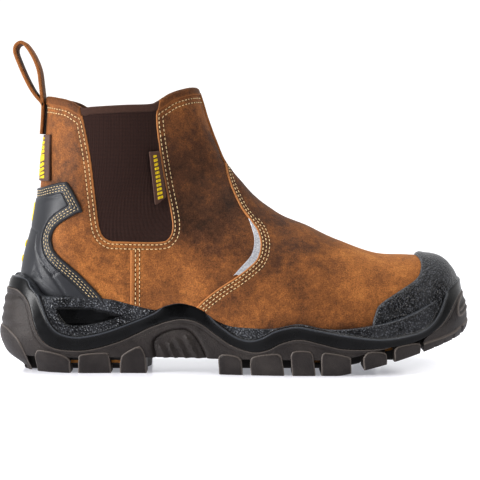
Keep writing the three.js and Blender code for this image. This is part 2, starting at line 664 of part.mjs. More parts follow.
function makeLoop() {
  const seat = TRIM_STEP + GAP;
  const footHeight = COLLAR_HEIGHT - COLLAR_FOLD;
  const tailFoot = COUNTER_TOP + REAR_TAG_GAP + REAR_TAG_HEIGHT + GAP;
  const foot = corner(backAt(footHeight).point.x - seat - STRAP_THICKNESS / 2, footHeight);
  const reach = foot.x + STRAP_WIDTH;
  const tailBox = slab([corner(-FAR, tailFoot), corner(reach, tailFoot),
    corner(reach, footHeight + 1), corner(-FAR, footHeight + 1)], -STRAP_WIDTH / 2, STRAP_WIDTH / 2);
  const tail = shell(seat, seat + STRAP_THICKNESS, tailBox);
  return join([tail, ribbon(LOOP_OUT, foot), ribbon(LOOP_BACK, foot)]);
}

// A box seen from behind, round the back of the last, that reaches depth millimetres forward
function backBox(foot, height, depth, halfWidth) {
  const reach = backAt(foot + height / 2).point.x + depth;
  return slab([corner(-FAR, foot), corner(reach, foot), corner(reach, foot + height),
    corner(-FAR, foot + height)], -halfWidth, halfWidth);
}

function makeRearTag() {
  const foot = COUNTER_TOP + REAR_TAG_GAP;
  return shell(GAP, GAP + TAG_THICKNESS, backBox(foot, REAR_TAG_HEIGHT, REAR_TAG_DEPTH, BALL_WIDTH / 2));
}

function makeSideTag() {
  const outline = SIDE_TAG.map((row) => corner(place(row.x), overBed(place(row.x), row.h)));
  return shell(GAP, GAP + TAG_THICKNESS, slab(outline, -FAR, 0));
}

function makeBadge() {
  const seat = GAP + COUNTER_THICKNESS + GAP;
  const foot = COUNTER_TOP - BADGE_DROP - BADGE_HEIGHT;
  return shell(seat, seat + BADGE_THICKNESS, backBox(foot, BADGE_HEIGHT, BADGE_WIDTH, BADGE_WIDTH / 2));
}

// The strip that shows behind the vamp's edge
function makeStrip(side) {
  const line = sideLine(STRIPE_EDGE);
  const ahead = BALL_WIDTH / 2;
  const outline = [...line, corner(line.at(-1).x + ahead, line.at(-1).y),
    corner(line[0].x + ahead, line[0].y)];
  const half = side < 0 ? slab(outline, -FAR, 0) : slab(outline, 0, FAR);
  return shell(GAP, GAP + STRIP_THICKNESS, half.subtract(vampRegion(-GAP)));
}

function makePod(groove, side) {
  const width = groove.to - groove.from - 2 * GAP;
  const x = grooveMiddle(groove);
  const ceiling = toeLift(x) + treadDepth(x);
  const geometry = new THREE.BoxGeometry(width, POD_LENGTH, POD_HEIGHT);
  geometry.rotateZ(side * GROOVE_YAW);
  const fromMiddle = (SOLE_WIDTH / 2) * (GROOVE_MIDDLE - POD_PLACE);
  const y = side * POD_PLACE * (SOLE_WIDTH / 2);
  geometry.translate(x + fromMiddle * Math.tan(GROOVE_YAW), y, ceiling - GAP - POD_HEIGHT / 2);
  return toSolid(geometry);
}

function makeStud(height) {
  const { point, normal } = backAt(height);
  const seat = GAP + COUNTER_THICKNESS + GAP;
  const dome = [
    corner(0, 0), corner(STUD_RADIUS, 0), corner(STUD_RADIUS, STUD_HEIGHT * 0.4),
    corner(STUD_RADIUS * 0.75, STUD_HEIGHT * 0.85), corner(0, STUD_HEIGHT),
  ];
  const geometry = new THREE.LatheGeometry(dome, 12);
  geometry.applyQuaternion(new THREE.Quaternion().setFromUnitVectors(new THREE.Vector3(0, 1, 0), normal));
  geometry.translate(...point.addScaledVector(normal, seat).toArray());
  return toSolid(geometry);
}

const group = new THREE.Group();
addMesh(group, "upper", makeUpper(), COLOURS.leather, 0.62);
addMesh(group, "gore_outer", makeGore(-1), COLOURS.elastic, 0.9);
addMesh(group, "gore_inner", makeGore(1), COLOURS.elastic, 0.9);
addMesh(group, "toe_cap", makeCap(), COLOURS.rubber, 0.5);
addMesh(group, "heel_counter", makeCounter(), COLOURS.rubber, 0.42);
addMesh(group, "midsole", makeMidsole(), COLOURS.rubber, 0.5);
addMesh(group, "outsole", makeOutsole(), COLOURS.tread, 0.75);
addMesh(group, "insole", makeInsole(), COLOURS.insole, 0.9);
addMesh(group, "pull_loop", makeLoop(), COLOURS.strap, 0.7);
addMesh(group, "rear_tag", makeRearTag(), COLOURS.trim, 0.8);
addMesh(group, "side_tag", makeSideTag(), COLOURS.tag, 0.8);
addMesh(group, "strip_outer", makeStrip(-1), COLOURS.strip, 0.35, 0.3);
addMesh(group, "strip_inner", makeStrip(1), COLOURS.strip, 0.35, 0.3);
addMesh(group, "heel_badge", makeBadge(), COLOURS.trim, 0.5);
STUD_RISES.forEach((rise, i) => {
  addMesh(group, `heel_stud_${i + 1}`, makeStud(HEEL_WALL_TOP + rise), COLOURS.trim, 0.45);
});
grooves().forEach((groove, index) => {
  if (!groove.pod) return;
  for (const [name, side] of [["outer", -1], ["inner", 1]]) {
    addMesh(group, `tread_pod_${index}_${name}`, makePod(groove, side), COLOURS.amber, 0.6);
  }
});

export default group;
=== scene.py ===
# %% [markdown]
# # A side gore work boot
# The boot has an oiled nubuck upper on a moulded rubber sole, with an elastic gore in each side.
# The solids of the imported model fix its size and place. This script dresses them: every visible
# piece is drawn again as a fine mesh over the same last, and gets the finish of the real material.

# %% Tools and frame
import math

import bpy
import numpy as np
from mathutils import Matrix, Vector


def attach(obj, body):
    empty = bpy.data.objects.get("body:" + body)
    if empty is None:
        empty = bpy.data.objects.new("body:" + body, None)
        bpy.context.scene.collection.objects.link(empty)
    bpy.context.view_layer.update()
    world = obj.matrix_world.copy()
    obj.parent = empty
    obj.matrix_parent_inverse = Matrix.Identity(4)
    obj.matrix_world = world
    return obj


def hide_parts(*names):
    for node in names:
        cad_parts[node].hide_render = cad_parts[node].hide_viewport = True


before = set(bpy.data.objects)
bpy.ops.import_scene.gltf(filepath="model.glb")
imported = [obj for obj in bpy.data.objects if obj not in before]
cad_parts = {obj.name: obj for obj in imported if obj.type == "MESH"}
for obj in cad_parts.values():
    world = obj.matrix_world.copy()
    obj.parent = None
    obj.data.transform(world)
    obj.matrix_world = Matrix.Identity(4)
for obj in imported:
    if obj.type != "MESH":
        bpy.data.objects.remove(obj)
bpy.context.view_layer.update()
MM = 0.001

# %% [markdown]
# ## Camera, floor and light
# The photograph was taken from the side with a long lens, a little above the boot. A long lens keeps
# the two sides of the sole nearly parallel. Big soft lights close to the boot give broad highlights
# on the rubber and hardly any hard shadow, as in a product picture.

# %% Camera
CAMERA_PLACE = (3.5, -1100.0, 150.0)
CAMERA_AIM = (3.5, 0.0, 86.0)
CAMERA_LENS = 120.8

camera = bpy.data.objects.new("camera", bpy.data.cameras.new("camera"))
bpy.context.scene.collection.objects.link(camera)
camera.location = Vector(CAMERA_PLACE) * MM
camera.rotation_euler = (Vector(CAMERA_AIM) - Vector(CAMERA_PLACE)).to_track_quat("-Z", "Y").to_euler()
camera.data.lens = CAMERA_LENS
camera.data.clip_start = 0.05
camera.data.clip_end = 50
bpy.context.scene.camera = camera
print("camera", CAMERA_PLACE, "lens", CAMERA_LENS, "mm")


# %% Colours and nodes
def linear(colour):
    """An sRGB hex colour as the linear colour that Blender's sockets take."""
    out = []
    for i in (1, 3, 5):
        share = int(colour[i:i + 2], 16) / 255
        out.append(share / 12.92 if share <= 0.04045 else ((share + 0.055) / 1.055) ** 2.4)
    return (*out, 1.0)


def fill(tree, made, inputs):
    """Sets a node's inputs: a value goes on the socket itself, and an output socket is linked to it."""
    for key, value in inputs.items():
        if isinstance(value, bpy.types.NodeSocket):
            tree.links.new(value, made.inputs[key])
        else:
            made.inputs[key].default_value = value


def node(tree, kind, inputs=None, stops=None, **settings):
    """Adds a node with its settings and its inputs. stops are a colour ramp's places and colours."""
    made = tree.nodes.new(kind)
    for name, value in settings.items():
        setattr(made, name, value)
    fill(tree, made, inputs or {})
    if stops:
        ramp = made.color_ramp.elements
        while len(ramp) < len(stops):
            ramp.new(0.5)
        for element, (place_on_ramp, colour) in zip(ramp, stops):
            element.position = place_on_ramp
            element.color = colour
    return made


def material(name):
    """A new material with its tree, its shader and the place that its patterns read, in metres."""
    made = bpy.data.materials.new(name)
    made.use_nodes = True
    tree = made.node_tree
    where = node(tree, "ShaderNodeTexCoord").outputs["Object"]
    return made, tree, tree.nodes["Principled BSDF"], where


print("a middle grey in linear light", round(linear("#808080")[0], 3))


# %% Floor and backdrop
FLOOR_HALF_WIDTH, FLOOR_NEAR, FLOOR_FAR = 8.0, -6.0, 9.0
FLOOR_GLOSS, FLOOR_GLOW = 0.16, 0.36


def make_floor():
    """A wide pale sheet under the boot, in metres. It glows a little, so that only soft shadows show."""
    mesh = bpy.data.meshes.new("floor")
    wide, near, far = FLOOR_HALF_WIDTH, FLOOR_NEAR, FLOOR_FAR
    corners = [(-wide, near, 0), (wide, near, 0), (wide, far, 0), (-wide, far, 0)]
    mesh.from_pydata(corners, [], [(0, 1, 2, 3)])
    floor = bpy.data.objects.new("floor", mesh)
    bpy.context.scene.collection.objects.link(floor)
    paper, tree, shader, _ = material("Satin white acrylic sheet")
    fill(tree, shader, {"Base Color": linear("#f1f1f6"), "Roughness": FLOOR_GLOSS,
                        "Emission Color": linear("#f7f8ff"), "Emission Strength": FLOOR_GLOW})
    mesh.materials.append(paper)
    return floor


make_floor()
print("floor", 2 * FLOOR_HALF_WIDTH, "m wide")


# %% Lights
LIGHTS_AIM = (0, 0, 90)


def soft_light(name, place_mm, size, power, colour):
    """A rectangular lamp that looks at the middle of the boot. Its size is in metres."""
    lamp = bpy.data.lights.new(name, "AREA")
    lamp.shape = "RECTANGLE"
    lamp.size, lamp.size_y = size
    lamp.energy = power
    lamp.color = linear(colour)[:3]
    light = bpy.data.objects.new(name, lamp)
    light.location = Vector(place_mm) * MM
    aim = Vector(LIGHTS_AIM) * MM - light.location
    light.rotation_euler = aim.to_track_quat("-Z", "Y").to_euler()
    bpy.context.scene.collection.objects.link(light)
    print("light", name, power, "W")


soft_light("key over the toe", (750, -800, 950), (0.5, 0.5), 8, "#fffaf4")
soft_light("key over the heel", (-950, -700, 750), (0.45, 0.6), 6, "#ffffff")
soft_light("strip beside the heel", (-1000, -430, 260), (0.3, 0.75), 14, "#ffffff")
soft_light("top", (0, 0, 1200), (1.0, 0.4), 7, "#ffffff")

# %% [markdown]
# ## The studio's walls
# Rubber shows what it mirrors more than its own colour. The world is white behind the boot, as the
# backdrop is, and dark in front, where the camera stands, with a dim glow along the horizon. A gamma
# under 1 gives the deep shadows of the product picture.

# %% World
WALL_BEHIND, WALL_IN_FRONT, HORIZON_GLOW = 1.1, 0.02, 0.5
DEEP_SHADOWS = 0.78

world = bpy.data.worlds.new("studio")
bpy.context.scene.world = world
world.use_nodes = True
sky = world.node_tree
facing = node(sky, "ShaderNodeSeparateXYZ", {0: node(sky, "ShaderNodeTexCoord").outputs["Generated"]})
behind = node(sky, "ShaderNodeMapRange", {
    "Value": facing.outputs["Y"], "From Min": -0.25, "From Max": 0.35,
    "To Min": WALL_IN_FRONT, "To Max": WALL_BEHIND})
height = node(sky, "ShaderNodeMath", {0: facing.outputs["Z"]}, operation="ABSOLUTE")
horizon = node(sky, "ShaderNodeMapRange", {
    "Value": height.outputs[0], "From Min": 0.08, "From Max": 0.15, "To Min": HORIZON_GLOW, "To Max": 0.0})
light = node(sky, "ShaderNodeMath", {0: behind.outputs[0], 1: horizon.outputs[0]}, operation="MAXIMUM")
fill(sky, sky.nodes["Background"], {"Strength": light.outputs[0], "Color": linear("#ffffff")})
bpy.context.scene.view_settings.view_transform = "Standard"
bpy.context.scene.view_settings.gamma = DEEP_SHADOWS
print("world nodes", len(sky.nodes))

# %% [markdown]
# ## The last
# A shoemaker pulls the leather over a last, a form of the foot. Here the last is one function of two
# numbers: u runs from the toe under the foot and up to the collar, and the angle runs round each
# section. Every panel is a piece of this surface, lifted a little, so neighbours always fit.

# %% Sizes of the boot, in millimetres, as in the part's source
LENGTH, BALL_WIDTH, SOLE_MARGIN = 320, 102, 5
SOLE_WIDTH = BALL_WIDTH + 2 * SOLE_MARGIN
INSTEP_HEIGHT, SHAFT_HEIGHT, HEEL_HEIGHT, BALL_HEIGHT = 112, 53, 30, 17
TOE_SPRING, TOE_SWING, GAP = 24, 7.5, 0.3
SPRING_FROM, SPRING_RUN, SPRING_POWER = 0.7125, 0.278, 1.15
SWING_FROM, BED_FALL, BED_SPRING = 0.76, (0.281, 0.656), 0.5
COLLAR_FOLD, VAMP_STEP = 5.5, 1.2

# One row per section: backX, backH, frontX, frontH, outer, inner, line, mid, low, top
UPPER = np.array([
    [0.972, 0.111, 0.972, 0.129, 0.03, 0.03, 1.02, 0.45, 2.0, 2.0],
    [0.968, 0.010, 0.970, 0.255, 0.29, 0.29, 1.02, 0.43, 2.1, 2.1],
    [0.956, -0.056, 0.957, 0.345, 0.50, 0.49, 0.88, 0.40, 2.4, 2.3],
    [0.923, -0.090, 0.929, 0.420, 0.70, 0.68, 0.75, 0.36, 2.8, 2.4],
    [0.870, -0.100, 0.870, 0.458, 0.84, 0.83, 0.54, 0.33, 3.0, 2.4],
    [0.800, -0.095, 0.800, 0.498, 0.93, 0.92, 0.27, 0.31, 3.0, 2.3],
    [0.713, -0.089, 0.722, 0.601, 0.98, 0.97, 0.07, 0.30, 3.0, 2.1],
    [0.616, -0.089, 0.650, 0.698, 0.99, 0.96, -0.07, 0.29, 3.0, 1.95],
    [0.516, -0.095, 0.586, 0.771, 0.95, 0.90, -0.14, 0.29, 3.0, 1.85],
    [0.409, -0.089, 0.541, 0.850, 0.87, 0.81, -0.14, 0.29, 2.9, 1.85],
    [0.303, -0.093, 0.511, 0.931, 0.79, 0.75, -0.07, 0.30, 2.8, 1.9],
    [0.197, -0.089, 0.489, 0.996, 0.75, 0.73, 0, 0.32, 2.7, 1.9],
    [0.113, -0.054, 0.475, 1.100, 0.73, 0.72, 0, 0.34, 2.6, 1.95],
    [0.066, 0.071, 0.467, 1.196, 0.72, 0.71, 0, 0.37, 2.4, 2.0],
    [0.050, 0.241, 0.461, 1.284, 0.71, 0.71, 0, 0.40, 2.3, 2.0],
    [0.057, 0.411, 0.454, 1.383, 0.71, 0.71, 0, 0.42, 2.2, 2.0],
    [0.072, 0.567, 0.447, 1.490, 0.72, 0.72, 0, 0.44, 2.2, 2.05],
    [0.083, 0.741, 0.439, 1.619, 0.74, 0.73, 0, 0.45, 2.15, 2.1],
    [0.089, 0.929, 0.431, 1.776, 0.76, 0.75, 0, 0.46, 2.1, 2.1],
    [0.098, 1.302, 0.421, 1.954, 0.77, 0.76, 0, 0.46, 2.1, 2.1],
    [0.102, 1.717, 0.412, 2.125, 0.78, 0.77, 0, 0.46, 2.1, 2.1],
    [0.100, 2.094, 0.403, 2.287, 0.78, 0.77, 0, 0.46, 2.1, 2.1],
])
U_TOP = len(UPPER) - 1

# Edges seen from the side: x as a share of the length, h as a height over the footbed
COLLAR_EDGE = [
    (0, 1.79), (0.09, 1.79), (0.132, 1.757), (0.16, 1.714), (0.187, 1.627), (0.205, 1.64),
    (0.274, 1.664), (0.325, 1.686), (0.342, 1.731), (0.367, 1.846), (0.398, 1.937), (0.422, 1.975),
    (0.47, 2.0),
]
GORE_EDGE = [
    (0.182, 1.75), (0.184, 1.6), (0.202, 1.043), (0.214, 0.726), (0.222, 0.575), (0.238, 0.52),
    (0.262, 0.511), (0.342, 0.516), (0.362, 0.54), (0.37, 0.595), (0.368, 0.68), (0.354, 0.885),
    (0.343, 1.2), (0.338, 1.517), (0.342, 1.692), (0.345, 1.8),
]
VAMP_EDGE = [
    (0.472, 1.2), (0.478, 1.074), (0.488, 0.921), (0.511, 0.789), (0.532, 0.715), (0.547, 0.655),
    (0.553, 0.58), (0.546, 0.5), (0.527, 0.439), (0.501, 0.373), (0.459, 0.275), (0.42, 0.157),
    (0.40, 0.02),
]
STRIPE_EDGE = [
    (0.507, 0.84), (0.523, 0.745), (0.536, 0.638), (0.537, 0.58), (0.531, 0.518), (0.511, 0.445),
    (0.492, 0.377),
]
CAP_EDGE = [
    (0.778, -0.01), (0.782, 0.122), (0.787, 0.173), (0.798, 0.23), (0.842, 0.289), (0.878, 0.337),
    (0.89, 0.394), (0.889, 0.44), (0.877, 0.481), (0.875, 0.611),
]
COUNTER_EDGE = [
    (0.02, 0.815), (0.085, 0.819), (0.117, 0.842), (0.146, 0.86), (0.158, 0.842), (0.185, 0.694),
    (0.174, 0.676), (0.137, 0.611), (0.122, 0.557), (0.12, 0.498), (0.132, 0.432), (0.178, 0.319),
    (0.219, 0.2), (0.236, 0.13),
]
SIDE_TAG = [(0.322, 1.094), (0.334, 0.732), (0.360, 0.751), (0.343, 1.111)]
SIDE_SEAM_AT = 0.288

# Edges of the sole: x as a share of the length, s as a height over the tread in heel heights
MIDSOLE_TOP = [
    (-0.02, 2.03), (0.02, 2.043), (0.036, 2.16), (0.055, 2.18), (0.079, 1.919), (0.095, 1.73),
    (0.141, 1.699), (0.235, 1.655), (0.29, 1.52), (0.336, 1.424), (0.36, 1.51), (0.39, 1.567),
    (0.429, 1.457), (0.459, 1.237), (0.491, 1.1), (0.54, 1.035), (0.58, 1.04), (0.63, 1.141),
    (0.68, 1.035), (0.72, 1.0), (0.78, 0.928), (0.842, 0.897), (0.903, 0.982), (0.96, 1.198),
    (1.02, 1.323),
]
WAVE = [
    (-0.02, 1.80), (0.035, 1.84), (0.056, 1.74), (0.07, 1.58), (0.077, 1.38), (0.085, 1.06),
    (0.099, 0.765), (0.12, 0.588), (0.15, 0.52), (0.2, 0.53), (0.263, 0.721), (0.33, 1.05),
    (0.377, 1.207), (0.41, 1.2), (0.435, 1.09), (0.462, 0.88), (0.493, 0.66), (0.535, 0.519),
    (0.565, 0.563), (0.597, 0.73), (0.633, 0.81), (0.674, 0.716), (0.72, 0.587), (0.776, 0.44),
    (0.83, 0.33), (0.87, 0.29), (0.9, 0.33), (0.928, 0.44), (0.947, 0.61), (0.963, 0.827), (0.98, 0.952),
    (1.02, 1.02),
]
BAND_TOP = [
    (-0.02, 2.09), (0.06, 2.09), (0.078, 1.892), (0.094, 1.72), (0.103, 1.494), (0.115, 1.185),
    (0.133, 0.942), (0.16, 0.831), (0.191, 0.831), (0.243, 0.964), (0.33, 1.33), (0.37, 1.62),
    (0.43, 1.52), (0.458, 1.2), (0.482, 1.0), (0.505, 0.843), (0.531, 0.777), (0.556, 0.843),
    (0.584, 1.0), (0.625, 1.09), (0.665, 1.02), (0.73, 0.857), (0.8, 0.6), (0.86, 0.5), (0.888, 0.5),
    (0.91, 0.6), (0.926, 0.8), (0.938, 1.049), (0.945, 1.189), (0.975, 1.35), (1.02, 1.4),
]
HEEL_WINDOW = [
    (0.128, 1.466), (0.136, 1.501), (0.204, 1.472), (0.238, 1.393), (0.276, 1.296), (0.255, 1.2),
    (0.221, 1.097), (0.187, 1.03), (0.161, 1.03), (0.146, 1.097), (0.132, 1.3),
]
ARCH_PANEL = [
    (0.338, 0.2), (0.33, 0.7), (0.356, 0.93), (0.387, 1.0), (0.408, 0.95), (0.43, 0.64), (0.446, 0.2),
]
SOLE_PLAN = np.array([
    [0, 0.76, 0.76], [0.15, 0.76, 0.76], [0.3, 0.75, 0.75], [0.42, 0.82, 0.77], [0.54, 0.95, 0.85],
    [0.65, 1.01, 0.97], [0.75, 1.0, 1.01], [0.86, 0.97, 0.95], [1, 0.95, 0.90],
])
# s, and how far the outline is drawn in at the side, back and toe, in heel heights
SOLE_LEVELS = np.array([
    [0, 0.10, 0.57, 0.11], [0.12, 0.07, 0.50, 0.03], [0.34, 0.03, 0.20, 0], [0.55, 0.01, 0.07, 0.03],
    [0.8, 0, 0, 0.085], [1.05, 0, 0.035, 0.16], [1.5, 0.05, 0.10, 0.22], [1.8, 0.11, 0.17, 0.25],
    [2.05, 0.17, 0.24, 0.3], [2.25, 0.24, 0.40, 0.4],
])
print("the last has", len(UPPER), "sections, the sole", len(SOLE_LEVELS), "levels")


# %% The last as a function
def smooth(start, end, value):
    """0 before the start, 1 after the end, and a soft rise between them."""
    t = np.clip((np.asarray(value, float) - start) / (end - start), 0, 1)
    return t * t * (3 - 2 * t)


def along_rows(rows, u):
    """A smooth line through table rows, read at u rows from the first."""
    last = len(rows) - 1
    i = np.clip(np.floor(u).astype(int), 0, last - 1)
    t = (u - i)[:, None]
    before, here = rows[np.maximum(i - 1, 0)], rows[i]
    there, after = rows[i + 1], rows[np.minimum(i + 2, last)]
    t2, t3 = t * t, t * t * t
    ends = (2 * t3 - 3 * t2 + 1) * here + (3 * t2 - 2 * t3) * there
    return ends + (t3 - 2 * t2 + t) * (there - before) / 2 + (t3 - t2) * (after - here) / 2


def share(x):
    """A place along the boot as a share of its length, 0 at the back and 1 at the toe."""
    return x / LENGTH + 0.5


def place(s):
    """A share of the length as a place in mm."""
    return (np.asarray(s, float) - 0.5) * LENGTH


def toe_lift(x):
    """How far the toe spring lifts the tread off the ground."""
    return TOE_SPRING * (np.maximum(0, share(x) - SPRING_FROM) / SPRING_RUN) ** SPRING_POWER


def toe_swing(x):
    """How far the toe turns to the inner side."""
    return TOE_SWING * smooth(SWING_FROM, 1, share(x))


def bed_height(x):
    """The height under the foot, from the heel down to the ball."""
    drop = (BALL_HEIGHT - HEEL_HEIGHT) * smooth(*BED_FALL, share(x))
    return HEEL_HEIGHT + drop + BED_SPRING * toe_lift(x)


def over_bed(x, h):
    """A height over the foot's bed: up to 1 over the instep, and past 1 up the shaft."""
    return bed_height(x) + INSTEP_HEIGHT * np.minimum(1, h) + SHAFT_HEIGHT * np.maximum(0, h - 1)


def over_tread(x, s):
    """A height over the tread, in heel heights."""
    return toe_lift(x) + HEEL_HEIGHT * s


def last_point(u, angle):
    """Points of the last: u rows along the fan, and an angle round the section from its back end."""
    row = along_rows(UPPER, np.clip(u, 0, U_TOP))
    back_x, back_h, front_x, front_h, outer, inner, line, mid, low, top = row.T
    back_x, front_x = place(back_x), place(front_x)
    back_z, front_z = over_bed(back_x, back_h), over_bed(front_x, front_h)
    lean, spread = np.cos(angle), np.sin(angle)
    fullness = np.where(lean > 0, low, top)
    reach = np.abs(lean) ** (2 / fullness)
    t = np.where(lean > 0, mid * (1 - reach), mid + (1 - mid) * reach)
    half = BALL_WIDTH / 2 * np.where(spread > 0, outer, inner)
    y = TOE_SWING * line - np.sign(spread) * half * np.abs(spread) ** (2 / fullness)
    return np.stack([back_x + (front_x - back_x) * t, y, back_z + (front_z - back_z) * t], 1)


def last_normal(u, angle):
    """The direction straight out of the last."""
    near = 0.02
    along = last_point(u + near, angle) - last_point(u - near, angle)
    around = last_point(u, angle + near) - last_point(u, angle - near)
    out = np.cross(around, along)
    return out / np.maximum(np.linalg.norm(out, axis=1), 1e-9)[:, None]


print("instep", last_point(np.array([10.5]), np.array([math.pi]))[0].round(1), "mm")


# %% [markdown]
# ## Skins
# A skin is a dictionary: points, normals, triangles, and any number that each point carries, such as
# its distance from a cut edge. Cutting a skin along such a number gives the clean outline of a panel,
# and a few more cuts beside it give the rounded edge that a knife and a hammer leave on leather.

# %% Skins: grids and distances
def grid_faces(rows, columns, closed):
    """Two triangles for each square of a grid, whose last column may join its first."""
    r, k = np.meshgrid(np.arange(rows - 1), np.arange(columns if closed else columns - 1), indexing="ij")
    a = r * columns + k
    b = r * columns + (k + 1) % columns
    first = np.stack([a, b, a + columns], -1).reshape(-1, 3)
    second = np.stack([b, b + columns, a + columns], -1).reshape(-1, 3)
    return np.concatenate([first, second])


def last_skin(u_range, angle_range, rows, columns):
    """A piece of the last, or the whole way round it where the angles make a full turn."""
    closed = angle_range[1] - angle_range[0] > 2 * math.pi - 0.001
    u = np.linspace(*u_range, rows)
    angle = np.linspace(*angle_range, columns, endpoint=not closed)
    u, angle = (g.ravel() for g in np.meshgrid(u, angle, indexing="ij"))
    faces = grid_faces(rows, columns, closed)
    return {"p": last_point(u, angle), "n": last_normal(u, angle), "tri": faces, "u": u, "angle": angle}


def outline(rows, height=over_bed, steps=10):
    """A smooth line through table rows, as points (x, z) seen from the side."""
    table = np.array(rows, float)
    x = place(table[:, 0])
    points = np.stack([x, height(x, table[:, 1])], 1)
    return along_rows(points, np.linspace(0, len(points) - 1, (len(points) - 1) * steps + 1))


def to_line(points, line):
    """Distance to a line, and the direction from the line's nearest point."""
    start, run = line[:-1], line[1:] - line[:-1]
    length2 = np.maximum((run ** 2).sum(1), 1e-9)
    distance = np.empty(len(points))
    away = np.empty((len(points), 2))
    for i in range(0, len(points), 8000):
        part = points[i:i + 8000]
        gap = part[:, None] - start[None]
        t = np.clip((gap * run).sum(2) / length2, 0, 1)
        gap -= t[..., None] * run
        all_distances = np.sqrt((gap ** 2).sum(2))
        best = all_distances.argmin(1)
        here = np.arange(len(part))
        distance[i:i + 8000] = all_distances[here, best]
        away[i:i + 8000] = gap[here, best] / np.maximum(all_distances[here, best], 1e-9)[:, None]
    return distance, away


def inside(points, polygon):
    """Which points lie in a closed polygon."""
    result = np.zeros(len(points), bool)
    x, z = points.T
    for (x1, z1), (x2, z2) in zip(polygon, np.roll(polygon, -1, axis=0)):
        crosses = (z1 > z) != (z2 > z)
        if z1 != z2:
            result ^= crosses & (x < (x2 - x1) * (z - z1) / (z2 - z1) + x1)
    return result


# Farther off than any point of the boot in mm, and the steepest slope that a distance allows for
FAR, STEEPEST = 900, 0.12


def measure(skin, line, closing=None):
    """How far each point lies inside a side view's outline, in mm over the surface."""
    flat = skin["p"][:, [0, 2]]
    if closing is None:
        line = np.concatenate([line, line[:1]])
    distance, away = to_line(flat, line)
    polygon = line if closing is None else np.concatenate([line, np.array(closing, float)])
    sign = np.where(inside(flat, polygon), 1.0, -1.0)
    slope = (away * skin["n"][:, [0, 2]]).sum(1)
    return sign * distance / np.sqrt(np.maximum(1 - slope ** 2, STEEPEST))


def below(skin, line):
    """How far each point lies under a line that crosses the whole boot."""
    return measure(skin, line, [(FAR, line[-1, 1]), (FAR, -FAR), (-FAR, -FAR), (-FAR, line[0, 1])])


def above(skin, line):
    """How far each point lies over it."""
    return -below(skin, line)


# %% Skins: cuts and shells
ROUND = (0.06, 0.2, 0.45, 0.75, 1.0)


def crossings(tri, s, near=1e-7):
    """The triangles where a number crosses zero: their corners, the cut edges and where each is cut."""
    s[np.abs(s) < near] = near
    up = s > 0
    count = up[tri].sum(1)
    whole = (count == 0) | (count == 3)
    cut = tri[~whole]
    if not len(cut):
        return None
    first = (up[cut] == (count[~whole] == 1)[:, None]).argmax(1)
    here = np.arange(len(cut))
    a, b, c = (cut[here, (first + i) % 3] for i in range(3))
    pairs = np.sort(np.concatenate([np.stack([a, b], 1), np.stack([a, c], 1)]), axis=1)
    edges, which = np.unique(pairs, axis=0, return_inverse=True)
    t = s[edges[:, 0]] / (s[edges[:, 0]] - s[edges[:, 1]])
    return whole, (a, b, c), edges, which.ravel(), t


def split(skin, key, *levels):
    """Cuts the triangles of a skin along lines where a number has these values."""
    for level in levels:
        found = crossings(skin["tri"], skin[key] - level)
        if found is None:
            continue
        whole, (a, b, c), edges, which, t = found
        which = which + len(skin["p"])
        grown = {}
        for name, values in skin.items():
            if name != "tri":
                weight = t if values.ndim == 1 else t[:, None]
                fresh = values[edges[:, 0]] * (1 - weight) + values[edges[:, 1]] * weight
                grown[name] = np.concatenate([values, fresh])
        ab, ac = which[:len(a)], which[len(a):]
        new = [np.stack([a, ab, ac], 1), np.stack([ab, b, c], 1), np.stack([ab, c, ac], 1)]
        grown["tri"] = np.concatenate([skin["tri"][whole], *new])
        skin = grown
    return skin


def keep(skin, chosen):
    """Only the chosen triangles of a skin, and their points."""
    used, tri = np.unique(skin["tri"][chosen], return_inverse=True)
    kept = {name: values[used] for name, values in skin.items() if name != "tri"}
    kept["tri"] = tri.reshape(-1, 3)
    return kept


def trim(skin, key, level=0.0, edge=()):
    """The part of a skin where a number is over a level, with more cuts just inside its edge."""
    skin = split(skin, key, level, *[level + e for e in edge])
    return keep(skin, skin[key][skin["tri"]].mean(1) > level)


def trim_to(skin, key, numbers, edge=()):
    """Adds a number to a skin, and keeps the part where it is over 0."""
    return trim({**skin, key: numbers}, key, 0.0, edge)


def rounded(radius):
    """The cuts that an edge of this radius needs."""
    return [r * radius for r in ROUND]


def rounding(distance, radius):
    """0 at an edge, rising as a quarter circle to 1 at the radius."""
    t = np.clip(distance / radius, 0, 1)
    return np.sqrt(np.maximum(1 - (1 - t) ** 2, 0))


def bump(distance, at, width):
    """A soft ridge of height 1 at a distance from a line."""
    return np.exp(-((distance - at) / width) ** 2)


def rim_edges(tri):
    """The edges that only one triangle has, in that triangle's direction."""
    edges = np.concatenate([tri[:, [0, 1]], tri[:, [1, 2]], tri[:, [2, 0]]])
    _, which, count = np.unique(np.sort(edges, axis=1), axis=0, return_inverse=True, return_counts=True)
    return edges[count[which.ravel()] == 1]


def close_shell(outer, inner, tri):
    """Two copies of a skin joined round the rim to one closed mesh."""
    n = len(outer)
    i, j = rim_edges(tri).T
    walls = np.concatenate([np.stack([j, i, i + n], 1), np.stack([j, i + n, j + n], 1)])
    return np.concatenate([outer, inner]), np.concatenate([tri, tri[:, ::-1] + n, walls])


def fix_outside(points, faces):
    """Turns all triangles round if the closed mesh is inside out."""
    faces = np.asarray(faces)
    p = np.asarray(points)[faces]
    volume = np.einsum("ij,ij->i", p[:, 0], np.cross(p[:, 1], p[:, 2])).sum()
    return faces[:, ::-1] if volume < 0 else faces


def close_tube(points, rows, start, end):
    """Joins rings of points to a closed tube, with one more point in the middle of each end."""
    count = len(points) // rows
    faces = grid_faces(rows, count, True).tolist()
    last = (rows - 1) * count
    for k in range(count):
        n = (k + 1) % count
        faces += [(k, rows * count, n), (last + k, last + n, rows * count + 1)]
    points = np.concatenate([points, [start], [end]])
    return points, fix_outside(points, faces)


print("an edge is rounded in", len(ROUND), "cuts")


